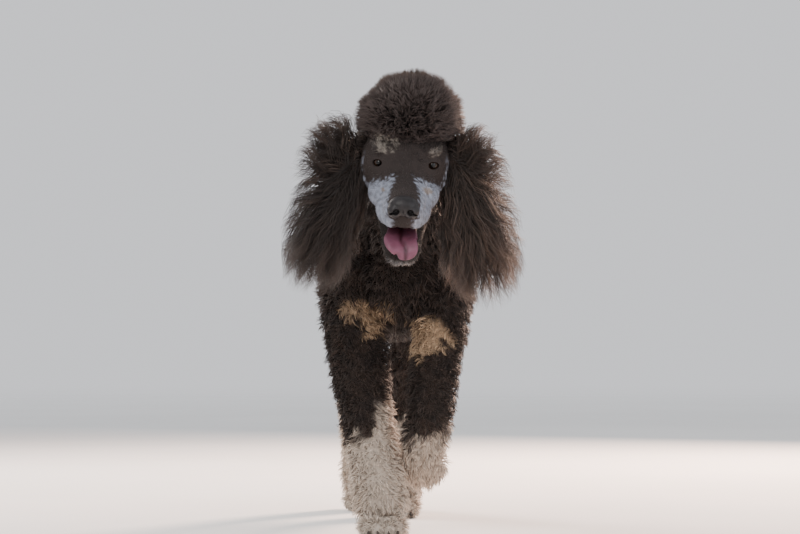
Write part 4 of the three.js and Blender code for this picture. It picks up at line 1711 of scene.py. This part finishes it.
class SkinMap:
    """Finds the place on the skin's unwrap that lies nearest to a point."""

    def __init__(self, skin: Thing) -> None:
        """Sorts a share of the skin's corners in space.

        Args:
            skin: the skin, with its unwrap.
        """
        mesh = skin.data
        uv = np.empty(len(mesh.loops) * 2, dtype=np.float32)
        mesh.uv_layers[BAKE_MAP].data.foreach_get("uv", uv)
        corners = np.empty(len(mesh.loops), dtype=np.int32)
        mesh.loops.foreach_get("vertex_index", corners)
        first = np.unique(corners, return_index=True)
        points = coordinates(mesh)
        self.uv = uv.reshape(-1, 2)[first[1]]
        self.tree = KDTree(len(first[0]))
        for number, vertex in enumerate(first[0]):
            self.tree.insert(points[vertex], number)
        self.tree.balance()

    def find(self, points: Rows) -> Rows:
        """Places on the unwrap for an array of points."""
        return self.uv[[self.tree.find(point)[1] for point in points]]


@dataclass
class Skin:
    """One closed skin from nose to tail, painted with the markings."""

    carcass: Carcass
    head: Head
    paws: Paws
    ears: list[Ear]
    markings: Markings
    body_voxel: float = 5.6
    paw_voxel: float = 2.4
    head_voxel: float = 1.8

    def build(self) -> Thing:
        """Melts, cuts and unites the body's parts.

        Returns:
            The skin, with its unwrap and its markings.
        """
        skin = fuse(self.carcass.flesh(), "skin", self.body_voxel, 4)
        pieces = []
        for site in self.paws.sites:
            pieces.append(fuse(self.paws.flesh(site), site.name + "_flesh", self.paw_voxel, 3))
        ears = [part for ear in self.ears for part in ear.flesh()]
        face = fuse(self.head.flesh() + ears, "face", self.head_voxel, 16)
        self.head.open_up(face)
        apply_modifier(face, "SMOOTH", factor=0.35, iterations=2)
        for piece in [*pieces, face]:
            apply_modifier(skin, "BOOLEAN", operation="UNION", object=piece, solver="MANIFOLD")
            bpy.data.objects.remove(piece)
        points = coordinates(skin.data)
        points[:, 2] = np.maximum(points[:, 2], SOLE_HIGH)
        set_coordinates(skin.data, points)
        self.unwrap(skin)
        self.tint(skin)
        return shade_smooth(skin)

    def unwrap(self, skin: Thing) -> None:
        """Unwraps the skin's own shape.

        Args:
            skin: the skin, which gets a new unwrap.
        """
        pick(skin)
        for layer in list(skin.data.uv_layers):
            skin.data.uv_layers.remove(layer)
        skin.data.uv_layers.new(name=BAKE_MAP)
        bpy.ops.object.mode_set(mode="EDIT")
        bpy.ops.mesh.select_all(action="SELECT")
        bpy.ops.uv.smart_project(angle_limit=math.radians(72), island_margin=0.001)
        bpy.ops.object.mode_set(mode="OBJECT")

    def tint(self, skin: Thing) -> None:
        """Paints the markings on the skin."""
        points = coordinates(skin.data)
        paint(skin.data, self.markings.everywhere(points), self.markings.mouth(points))


# How each part's tufts are cut
CUTS = {
    Part.TRUNK: Cut(
        length=TRUNK_COAT, thick=0.95, lift=0.85, stand=0.34, mess=0.42, curl=2.8, turns=0.6,
        rings=4, gather=0.5, herd=9, grizzle=0.2,
    ),
    Part.LEG: Cut(
        length=LEG_COAT, thick=0.8, lift=0.85, stand=0.34, mess=0.42, curl=2.2, turns=0.6,
        rings=4, gather=0.5, herd=9, grizzle=0.16,
    ),
    Part.CROWN: Cut(
        length=CROWN_COAT, thick=0.8, lift=0.95, stand=0.85, mess=0.22, curl=2.0, turns=0.9,
        rings=4, gather=0.25, herd=6, spread=0.03, grizzle=0.25,
    ),
    Part.POM: Cut(
        length=POM_COAT, thick=1.1, lift=0.9, stand=0.8, mess=0.25, curl=1.8, turns=0.9, rings=4,
        gather=0.35, herd=8,
    ),
    Part.FACE: Cut(
        length=FACE_COAT, thick=0.5, lift=0.34, stand=0.2, mess=0.22, curl=0.4, turns=0.6,
        rings=3, gather=0.3, herd=7, grizzle=0.3,
    ),
    Part.FOOT: Cut(
        length=FOOT_COAT, thick=0.75, lift=0.5, stand=0.3, mess=0.34, curl=1.2, turns=0.7,
        rings=3, gather=0.3, herd=8, grizzle=0.16,
    ),
}

# How much lighter the topknot is than the rest of the coat
CROWN_LIGHT = 1.75

# How many roots each part is given before the bare places are left out
TUFTS = {
    Part.TRUNK: 30000,
    Part.LEG: 23000,
    Part.CROWN: 11500,
    Part.POM: 3300,
    Part.FACE: 17000,
    Part.FOOT: 5600,
}


@dataclass
class Coat:
    """All tufts of the coat."""

    skin: Thing
    markings: Markings

    def zones(self, points: Rows) -> Rows:
        """The part of the coat that each point belongs to.

        Args:
            points: places in the dog's frame, one a row.

        Returns:
            Values of Part, or -1 where an ear's flap is.
        """
        s, f, u = head_frame(points).T
        x, y, z = points.T
        zone = np.full(len(points), Part.TRUNK.value)
        zone[(z < 300.0) | ((z < 330.0) & (np.abs(x) > 78.0))] = Part.LEG.value
        near_head = (z > 366.0) & (y < -380.0)
        above = u - 31.0 - 0.15 * (f - 10.0)
        zone[near_head & (above > 0.0)] = Part.CROWN.value
        zone[near_head & (above <= 0.0) & (f > -64.0)] = Part.FACE.value
        zone[near_head & (np.abs(s) > 53.0 + 9.0 * ramp(-44.0, -34.0, f))] = Part.TRUNK.value
        pom = np.linalg.norm(points - np.array(POM_AT), axis=1) < 44.0
        zone[pom] = Part.POM.value
        lifted = (y < -195.0) & (x > 0.0) & (z < 132.0)
        zone[((z < 30.0) | (lifted & (z < 106.0)))] = Part.FOOT.value
        for ear in EARS:
            middle = np.array(ear.root.lerp(ear.fan, 0.62))
            away = (points - middle) / np.array([ear.wide * 0.62, 34.0, ear.high * 0.5])
            flap = (np.linalg.norm(away, axis=1) < 1.0) & (np.abs(s) > 60.0)
            zone[flap] = -1
        return zone

    def roots(self, part: Part, rng: Draw) -> Roots:
        """The roots of one part of the coat."""
        return scatter(self.skin, TUFTS[part], lambda at: (self.zones(at) == part.value) * 1.0, rng)

    def lie(self, part: Part, roots: Roots) -> Rows:
        """The direction that the coat lies in.

        Args:
            part: the part of the coat.
            roots: where the tufts grow.

        Returns:
            Directions of length one.
        """
        at = roots.at
        count = len(at)
        if part is Part.TRUNK:
            front = 1.0 - ramp(-280.0, -150.0, at[:, 1])
            way = np.column_stack([np.zeros(count), 0.8 - 0.7 * front, -0.6 - 0.4 * front])
        elif part in (Part.LEG, Part.FOOT):
            way = np.tile(np.array([0.0, 0.12, -1.0]), (count, 1))
        elif part is Part.CROWN:
            way = at - np.array(CROWN_AT) + np.array([0.0, 0.0, 14.0])
        elif part is Part.POM:
            way = at - np.array(POM_AT)
        else:
            s, u = head_frame(at)[:, [0, 2]].T
            back = np.array(HEAD_TURN @ Vector((0, 1, 0)))
            down = np.array(HEAD_TURN @ Vector((0, 0, -1)))
            side = np.array(HEAD_TURN @ Vector((1, 0, 0)))
            low = ramp(10.0, -30.0, u)[:, None]
            way = back + down * (0.2 + 0.6 * low) + side * np.sign(s)[:, None] * 0.25
        return unit(way)

    def body(self) -> list[Thing]:
        """The curls of trunk, neck and legs.

        Returns:
            The pieces.
        """
        rng = np.random.default_rng(SEED + 10)
        pieces = []
        roots = self.roots(Part.TRUNK, rng)
        tints = self.markings.body(roots.at)
        way = self.lie(Part.TRUNK, roots)
        pieces += Comb(CUTS[Part.TRUNK], SEED + 11).grow("coat_trunk", roots, way, tints)
        roots = self.roots(Part.LEG, rng)
        tints = self.markings.everywhere(roots.at)
        lengths = LEG_COAT + 3.0 * (1.0 - ramp(40.0, 70.0, roots.at[:, 2]))
        way = self.lie(Part.LEG, roots)
        pieces += Comb(CUTS[Part.LEG], SEED + 12).grow("coat_legs", roots, way, tints, lengths)
        return pieces

    def crown(self) -> list[Thing]:
        """The clipped dome of the topknot.

        Returns:
            The pieces.
        """
        rng = np.random.default_rng(SEED + 20)
        roots = self.roots(Part.CROWN, rng)
        way = self.lie(Part.CROWN, roots)
        middle = np.array(CROWN_AT) + np.array([4.0, 0.0, 0.0])
        local = (roots.at - middle) @ np.array(HEAD_TURN.to_matrix())
        direction = unit(local)
        shell = 1.0 / np.linalg.norm(direction / np.array(CROWN_TIPS), axis=1)
        lengths = np.clip(1.06 * shell - np.linalg.norm(local, axis=1), 10.0, CROWN_COAT)
        f, u = head_frame(roots.at)[:, 1:].T
        brow = 1.0 - ramp(30.0, 54.0, u)
        lengths = lengths * (1.0 - 0.75 * brow * ramp(-50.0, -20.0, f))
        tints = self.markings.everywhere(roots.at) * CROWN_LIGHT
        return Comb(CUTS[Part.CROWN], SEED + 21).grow("coat_topknot", roots, way, tints, lengths)

    def pom(self) -> list[Thing]:
        """The round pom of the tail.

        Returns:
            The pieces.
        """
        rng = np.random.default_rng(SEED + 30)
        roots = self.roots(Part.POM, rng)
        tints = self.markings.everywhere(roots.at)
        way = self.lie(Part.POM, roots)
        return Comb(CUTS[Part.POM], SEED + 31).grow("coat_pom", roots, way, tints)

    def face(self) -> list[Thing]:
        """The short fur of the face, clipped close.

        Returns:
            The pieces.
        """
        rng = np.random.default_rng(SEED + 40)
        roots = self.roots(Part.FACE, rng)
        roots = roots.take(self.furred(roots.at))
        s, f, u = head_frame(roots.at).T
        brow = LONG_BROW.amount(np.abs(s), u) * ramp(-34.0, -16.0, f)
        back = 1.0 - ramp(-62.0, -34.0, f)
        chin = ramp(-88.0, -104.0, u) * ramp(10.0, 36.0, f)
        edge = ramp(20.0, 34.0, u)
        lengths = FACE_COAT + 5.0 * np.maximum(brow, edge) + 7.0 * back + 4.5 * chin
        tints = self.markings.everywhere(roots.at)
        way = self.lie(Part.FACE, roots)
        comb = Comb(CUTS[Part.FACE], SEED + 41)
        return comb.grow("coat_face", roots, way, tints, lengths, tip_light=1.15)

    def furred(self, points: Rows) -> Rows:
        """Which points of the face carry fur: not the mouth, the lids' gaps or the nose.

        Args:
            points: places in the dog's frame, one a row.

        Returns:
            A mask over the points.
        """
        s, f, u = head_frame(points).T
        keep = np.ones(len(points), dtype=bool)
        for side in Side:
            away = s - side.value * EYE_SPAN
            keep &= ((away / 13.0) ** 2 + (u / 8.5) ** 2 > 1.0) | (f < -10.0)
        keep &= (s / 21.5) ** 2 + ((f - 46) / 59.0) ** 2 + ((u + 64) / 16.0) ** 2 >= 1.0
        keep &= ~((f > 108.0) & (np.abs(s) < 22.0) & (u > -42.0))
        return keep

    def feet(self) -> list[Thing]:
        """The short fur of the feet.

        Returns:
            The pieces.
        """
        rng = np.random.default_rng(SEED + 45)
        roots = self.roots(Part.FOOT, rng)
        tints = self.markings.everywhere(roots.at)
        lifted = roots.at[:, 2] > 60.0
        sole = np.where(lifted, roots.normal @ np.array([0.0, -0.78, -0.62]), roots.normal[:, 2])
        keep = (sole > -0.5) & (roots.at[:, 2] > 4.0)
        roots, tints, lifted = roots.take(keep), tints[keep], lifted[keep]
        lengths = FOOT_COAT + 8.0 * np.where(lifted, 0.8, ramp(8.0, 26.0, roots.at[:, 2]))
        way = self.lie(Part.FOOT, roots)
        return Comb(CUTS[Part.FOOT], SEED + 46).grow("coat_feet", roots, way, tints, lengths)


# Finishes


def operator(operation: str, reflected: bool = False) -> Callable[["Value", "Value | float"], "Value"]:
    """Makes the method behind one of Value's operators.

    Args:
        operation: Blender's name of what the Math node does.
        reflected: whether the other number comes first.

    Returns:
        The method.
    """

    def method(self: "Value", other: "Value | float") -> "Value":
        """Adds one Math node for this value and another."""
        first, second = (other, self) if reflected else (self, other)
        return self.maths(operation, first, second)

    return method


class Value:
    """A node's output. Arithmetic on it adds Math nodes."""

    def __init__(self, tree: bpy.types.NodeTree, socket: bpy.types.NodeSocket) -> None:
        """Keeps the socket and the tree that it belongs to."""
        self.tree = tree
        self.socket = socket

    def maths(self, operation: str, first: "Value | float", second: "Value | float") -> "Value":
        """One Math node.

        Args:
            operation: Blender's name of what it does.
            first: its first input.
            second: its second input.

        Returns:
            Its result.
        """
        node = self.tree.nodes.new("ShaderNodeMath")
        node.operation = operation
        for socket, given in zip(node.inputs, (first, second)):
            if isinstance(given, Value):
                self.tree.links.new(given.socket, socket)
            else:
                socket.default_value = given
        return Value(self.tree, node.outputs[0])

    __add__ = operator("ADD")
    __radd__ = operator("ADD", reflected=True)
    __sub__ = operator("SUBTRACT")
    __rsub__ = operator("SUBTRACT", reflected=True)
    __mul__ = operator("MULTIPLY")
    __rmul__ = operator("MULTIPLY", reflected=True)
    __truediv__ = operator("DIVIDE")
    __rtruediv__ = operator("DIVIDE", reflected=True)
    __pow__ = operator("POWER")


# The Mix node's inputs for colours, which share their names with others
MIX_INPUTS = {"Factor": 0, "A": 6, "B": 7}


class Recipe:
    """The nodes of one material."""

    def __init__(self, name: str) -> None:
        """Starts a material with an empty tree.

        Args:
            name: the material's name.
        """
        self.material = bpy.data.materials.new(name)
        self.material.use_nodes = True
        self.tree = self.material.node_tree
        self.tree.nodes.clear()

    def node(
        self,
        kind: str,
        output: str | int = 0,
        settings: dict | None = None,
        **sockets: object,
    ) -> Value:
        """Adds one node.

        Args:
            kind: its type, without the leading ShaderNode.
            output: the output that is wanted.
            settings: its own settings, such as a ramp's stops, which are set first.
            sockets: values or links of its inputs, spaces in their names as underscores.

        Returns:
            The wanted output.
        """
        node = self.tree.nodes.new("ShaderNode" + kind)
        for key, value in (settings or {}).items():
            if key == "stops":
                stops = node.color_ramp.elements
                while len(stops) < len(value):
                    stops.new(0.5)
                for element, (place, colour) in zip(stops, value):
                    element.position = place
                    element.color = (*colour, 1.0)
            else:
                setattr(node, key, value)
        for key, value in sockets.items():
            name = key.replace("_", " ")
            socket = node.inputs[MIX_INPUTS[name] if kind == "Mix" else name]
            if isinstance(value, Value):
                self.tree.links.new(value.socket, socket)
            else:
                socket.default_value = value
        return Value(self.tree, node.outputs[output])

    def shade(self, colour: Value, factor: Value) -> Value:
        """A colour times a number that changes over the surface.

        Args:
            colour: the colour.
            factor: the number.

        Returns:
            The product.
        """
        grey = self.node("CombineColor", Red=factor, Green=factor, Blue=factor)
        settings = {"data_type": "RGBA", "blend_type": "MULTIPLY"}
        return self.node("Mix", 2, settings, Factor=1.0, A=colour, B=grey)

    def place(self) -> Value:
        """The piece's own coordinates."""
        return self.node("TexCoord", "Object")

    def kept(self, name: str, output: str = "Color") -> Value:
        """What the mesh keeps under a name for each vertex."""
        return self.node("Attribute", output, {"attribute_name": name})

    def noise(
        self,
        scale: float,
        detail: float = 3.0,
        rough: float = 0.5,
        place: Value | None = None,
    ) -> Value:
        """Noise on the piece's own coordinates, or on a place made from them."""
        place = place or self.place()
        return self.node("TexNoise", "Fac", Vector=place, Scale=scale, Detail=detail, Roughness=rough)

    def cells(self, scale: float) -> Value:
        """The distance from the middles of small soft cells.

        Args:
            scale: how many cells lie along a metre, about.

        Returns:
            The distance.
        """
        place = self.place()
        settings = {"feature": "SMOOTH_F1"}
        return self.node("TexVoronoi", "Distance", settings, Vector=place, Scale=scale)

    def between(self, dark: Triple, pale: Triple, by: Value, low: float = 0.3, high: float = 0.7) -> Value:
        """A colour between two, by a value that is taken from low to high."""
        return self.node("ValToRGB", "Color", {"stops": ((low, dark), (high, pale))}, Fac=by)

    def bump(self, height: Value, strength: float, distance: float) -> Value:
        """A bump from a height."""
        return self.node("Bump", "Normal", Height=height, Strength=strength, Distance=distance)

    def finish(self, **sockets: object) -> Material:
        """Ends the material with a Principled shader.

        Args:
            sockets: values or links of the shader's inputs.

        Returns:
            The material.
        """
        shader = self.node("BsdfPrincipled", 0, None, **sockets)
        end = self.tree.nodes.new("ShaderNodeOutputMaterial")
        self.tree.links.new(shader.socket, end.inputs["Surface"])
        return self.material


@dataclass(frozen=True)
class CoatFinish:
    """Hair: the tufts' own tint, with a soft sheen."""

    name: str = "coat_hair"
    roughness: float = 0.5
    sheen: float = 0.06

    def make(self) -> Material:
        """Builds the material.

        Returns:
            The material.
        """
        recipe = Recipe(self.name)
        tint = recipe.kept(TINT)
        patchy = recipe.noise(38.0, 4.0, 0.6)
        strand = recipe.noise(900.0, 2.0)
        colour = recipe.shade(tint, 0.72 + 0.38 * patchy + 0.22 * strand)
        return recipe.finish(
            Base_Color=colour,
            Roughness=self.roughness + 0.16 * strand,
            Specular_IOR_Level=0.35,
            Sheen_Weight=self.sheen,
            Sheen_Roughness=0.4,
            Sheen_Tint=(1.0, 0.86, 0.76, 1.0),
            Normal=recipe.bump(strand, 0.3, 0.0006),
        )


@dataclass(frozen=True)
class SkinFinish:
    """Skin and short flat fur, with wet flesh in the mouth."""

    name: str = "skin_fur"

    def make(self) -> Material:
        """Builds the material.

        Returns:
            The material.
        """
        recipe = Recipe(self.name)
        tint = recipe.kept(TINT)
        wet = recipe.kept(WET, "Fac")
        place = recipe.place()
        pitch = (math.radians(-HEAD_PITCH), 0.0, 0.0)
        lie = recipe.node("Mapping", Vector=place, Rotation=pitch, Scale=(1.0, 0.22, 0.6))
        strand = recipe.noise(1500.0, 3.0, 0.6, lie)
        patchy = recipe.noise(60.0, 4.0, 0.6)
        colour = recipe.shade(tint, 0.45 + 0.4 * patchy + 0.6 * strand)
        return recipe.finish(
            Base_Color=colour,
            Roughness=0.82 - 0.5 * wet,
            Specular_IOR_Level=0.25,
            Normal=recipe.bump(strand, 0.8, 0.0012),
        )


@dataclass(frozen=True)
class NoseFinish:
    """Nose leather: near black, pebbled and moist."""

    name: str = "nose_leather"
    colour: Triple = (0.006, 0.005, 0.005)
    pale: Triple = (0.016, 0.013, 0.014)

    def make(self) -> Material:
        """Builds the material.

        Returns:
            The material.
        """
        recipe = Recipe(self.name)
        pebble = recipe.cells(620.0)
        colour = recipe.between(self.colour, self.pale, recipe.noise(120.0, 4.0))
        return recipe.finish(
            Base_Color=colour,
            Roughness=0.34 + 0.25 * pebble,
            Specular_IOR_Level=0.28,
            Coat_Weight=0.06,
            Coat_Roughness=0.2,
            Normal=recipe.bump(1.0 - pebble, 0.5, 0.0007),
        )


@dataclass(frozen=True)
class TongueFinish:
    """Tongue: wet, pink, with painted shade along the groove and at its root, and fine papillae."""

    name: str = "tongue_flesh"
    # The darker colour is painted shade for the groove and the root; the paler one is the tongue's own
    # pink.
    deep: Triple = (0.045, 0.012, 0.018)
    pale: Triple = (0.150, 0.052, 0.082)

    def make(self) -> Material:
        """Builds the material.

        Returns:
            The material.
        """
        recipe = Recipe(self.name)
        tint = recipe.kept(TINT)
        colour = recipe.shade(tint, 0.55 + 0.9 * recipe.noise(85.0, 4.0, 0.6))
        bud = recipe.cells(1100.0)
        return recipe.finish(
            Base_Color=colour,
            Roughness=0.36 + 0.2 * bud,
            Specular_IOR_Level=0.3,
            Subsurface_Weight=0.15,
            Subsurface_Radius=(0.006, 0.002, 0.0015),
            Coat_Weight=0.08,
            Coat_Roughness=0.25,
            Normal=recipe.bump(1.0 - bud, 0.35, 0.0004),
        )


@dataclass(frozen=True)
class EyeFinish:
    """Eye: the ball's own rings of colour under a clear, wet cornea."""

    name: str = "eye_gloss"

    def make(self) -> Material:
        """Builds the material.

        Returns:
            The material.
        """
        recipe = Recipe(self.name)
        tint = recipe.kept(TINT)
        fleck = recipe.noise(1500.0, 3.0, 0.7)
        return recipe.finish(
            Base_Color=recipe.shade(tint, 0.6 + 0.8 * fleck),
            Roughness=0.14 + 0.06 * fleck,
            Specular_IOR_Level=0.2,
            Coat_Weight=0.24,
            Coat_Roughness=0.03,
        )


@dataclass(frozen=True)
class HornFinish:
    """Claws and teeth: a hard finish with fine growth lines."""

    name: str
    dark: Triple
    pale: Triple
    roughness: float

    def make(self) -> Material:
        """Builds the material.

        Returns:
            The material.
        """
        recipe = Recipe(self.name)
        lines = recipe.noise(420.0, 5.0, 0.7)
        return recipe.finish(
            Base_Color=recipe.between(self.dark, self.pale, lines),
            Roughness=self.roughness + 0.15 * lines,
            Normal=recipe.bump(lines, 0.25, 0.0004),
        )


@dataclass(frozen=True)
class FloorFinish:
    """Plain pale studio floor, which fades out towards its rim."""

    radius: float
    name: str = "studio_floor"
    colour: Triple = (0.80, 0.80, 0.79)
    shade: Triple = (0.77, 0.77, 0.76)

    def make(self) -> Material:
        """Builds the material.

        Returns:
            The material.
        """
        recipe = Recipe(self.name)
        colour = recipe.between(self.shade, self.colour, recipe.noise(1.5), 0.4, 0.6)
        away = recipe.node("VectorMath", "Value", {"operation": "LENGTH"}, Vector=recipe.place())
        fade = recipe.node(
            "MapRange",
            "Result",
            {"interpolation_type": "SMOOTHSTEP"},
            Value=away,
            From_Min=self.radius * 0.2,
            From_Max=self.radius * 0.95,
            To_Min=1.0,
            To_Max=0.0,
        )
        return recipe.finish(Base_Color=colour, Roughness=0.85, Specular_IOR_Level=0.2, Alpha=fade)


# Studio


@dataclass
class Studio:
    """Camera, floor and soft light."""

    place: Place
    floor_r: float = 11.0

    def camera(self) -> None:
        """Sets the camera where the photograph was taken from."""
        lens = bpy.data.cameras.new("camera")
        lens.lens = LENS_MM
        lens.sensor_width = 36.0
        lens.clip_end = 200.0
        camera = bpy.data.objects.new("camera", lens)
        bpy.context.scene.collection.objects.link(camera)
        aside = self.place.shift.x / 1000.0
        camera.location = (aside, (self.place.shift.y - CAMERA_BACK) / 1000.0, CAMERA_UP / 1000.0)
        camera.rotation_euler = (math.radians(90.0 + TILT_UP), 0.0, 0.0)
        bpy.context.scene.camera = camera

    def lamp(self, name: str, at: Vector, aim: Vector, size: float, power: float, tint: Vector) -> None:
        """One soft square lamp.

        Args:
            name: its name.
            at: where it hangs, in metres.
            aim: what it looks at.
            size: its side.
            power: its power in watts.
            tint: its colour.
        """
        light = bpy.data.lights.new(name, "AREA")
        light.shape = "SQUARE"
        light.size = size
        light.energy = power
        light.color = tint
        lamp = bpy.data.objects.new(name, light)
        bpy.context.scene.collection.objects.link(lamp)
        lamp.location = at
        lamp.rotation_euler = (aim - at).to_track_quat("-Z", "Y").to_euler()

    def floor(self) -> None:
        """A pale round floor whose rim fades into the backdrop."""
        clear_selection()
        bpy.ops.mesh.primitive_circle_add(vertices=96, radius=self.floor_r, fill_type="NGON")
        floor = bpy.context.object
        floor.name = "floor"
        bpy.ops.object.mode_set(mode="EDIT")
        bpy.ops.mesh.inset(thickness=self.floor_r * 0.5, depth=0.0)
        bpy.ops.object.mode_set(mode="OBJECT")
        floor.data.materials.append(FloorFinish(self.floor_r).make())

    def light(self) -> None:
        """A soft key and a fill from the front, and a warm rim on each side from behind."""
        middle = Vector((0.0, -0.25, 0.38))
        self.lamp("key", Vector((-1.3, -3.4, 2.4)), middle, 1.8, 70.0, Vector((1.0, 0.97, 0.94)))
        self.lamp("fill", Vector((2.4, -2.6, 1.2)), middle, 2.4, 34.0, Vector((0.92, 0.95, 1.0)))
        self.lamp("rim", Vector((1.25, 2.25, 1.5)), middle, 0.6, 280.0, Vector((1.0, 0.68, 0.53)))
        self.lamp("rim_left", Vector((-1.5, 1.6, 1.7)), middle, 0.8, 70.0, Vector((1.0, 0.90, 0.84)))
        world = bpy.data.worlds.new("studio")
        bpy.context.scene.world = world
        world.use_nodes = True
        sky = world.node_tree.nodes["Background"]
        sky.inputs["Color"].default_value = (0.95, 0.96, 1.0, 1.0)
        sky.inputs["Strength"].default_value = 0.95

    def build(self) -> None:
        """Builds the studio."""
        self.camera()
        self.floor()
        self.light()


BLACK = "black_coat"
CREAM = "cream_coat"
SIDES = ("right", "left")
LEG_PARTS = ("foreleg_upper", "foreleg_lower", "thigh", "hindleg_lower")
LEG_NODES = [f"{part}_{side}" for part in LEG_PARTS for side in SIDES]
PAW_NODES = [f"{part}_{side}" for part in ("forepaw", "hindpaw") for side in SIDES]
HEAD_NODES = ["head", "lower_jaw"]
TOP_NODES = ["topknot", "ear_right", "ear_left"]
TRUNK_NODES = ["neck", "chest", "torso_rear"]
FLESH_NODES = [*HEAD_NODES, *TRUNK_NODES, *LEG_NODES, *PAW_NODES, "tail", *TOP_NODES]


def main() -> None:
    """Builds the dog in its studio."""
    logging.basicConfig(level=logging.INFO, format="%(message)s")
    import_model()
    place = Place.from_frame()
    log.info("shift of the dog's frame: %s", tuple(round(v, 3) for v in place.shift))
    markings = Markings()
    paws = Paws()
    head = Head()
    skin = Skin(Carcass(), head, paws, list(EARS), markings).build()
    coat = Coat(skin, markings)
    unwrap = SkinMap(skin)
    hair = CoatFinish().make()
    for pieces, slot, nodes in (
        (coat.body(), BLACK, [*TRUNK_NODES, "tail", *LEG_NODES]),
        (coat.crown(), BLACK, ["topknot"]),
        (coat.pom(), BLACK, ["tail"]),
        (coat.face(), "face_fur", HEAD_NODES),
        (coat.feet(), CREAM, PAW_NODES),
    ):
        for piece in pieces:
            place.settle(piece, hair, slot, nodes)
    for ear in EARS:
        name = "ear_left" if ear.side is Side.LEFT else "ear_right"
        place.settle(ear.hair(name + "_hair", unwrap, markings.palette), hair, BLACK, [name])
    place.settle(skin, SkinFinish().make(), BLACK, FLESH_NODES)
    glossy = EyeFinish().make()
    place.settle(head.eye(Side.LEFT), glossy, "eye_gloss", ["eye_left"])
    place.settle(head.eye(Side.RIGHT), glossy, "eye_gloss", ["eye_right"])
    place.settle(head.nose(), NoseFinish().make(), "nose_leather", ["nose"])
    place.settle(head.tongue(), TongueFinish().make(), "tongue_skin", ["tongue"])
    ivory = HornFinish("tooth", (0.50, 0.43, 0.30), (0.72, 0.68, 0.56), 0.28).make()
    place.settle(head.teeth(), ivory, CREAM, ["lower_jaw"])
    horn = HornFinish("claw", (0.02, 0.016, 0.014), (0.07, 0.055, 0.045), 0.38).make()
    place.settle(paws.claws(), horn, CREAM, PAW_NODES)
    Studio(place).build()


if __name__ == "__main__":
    main()
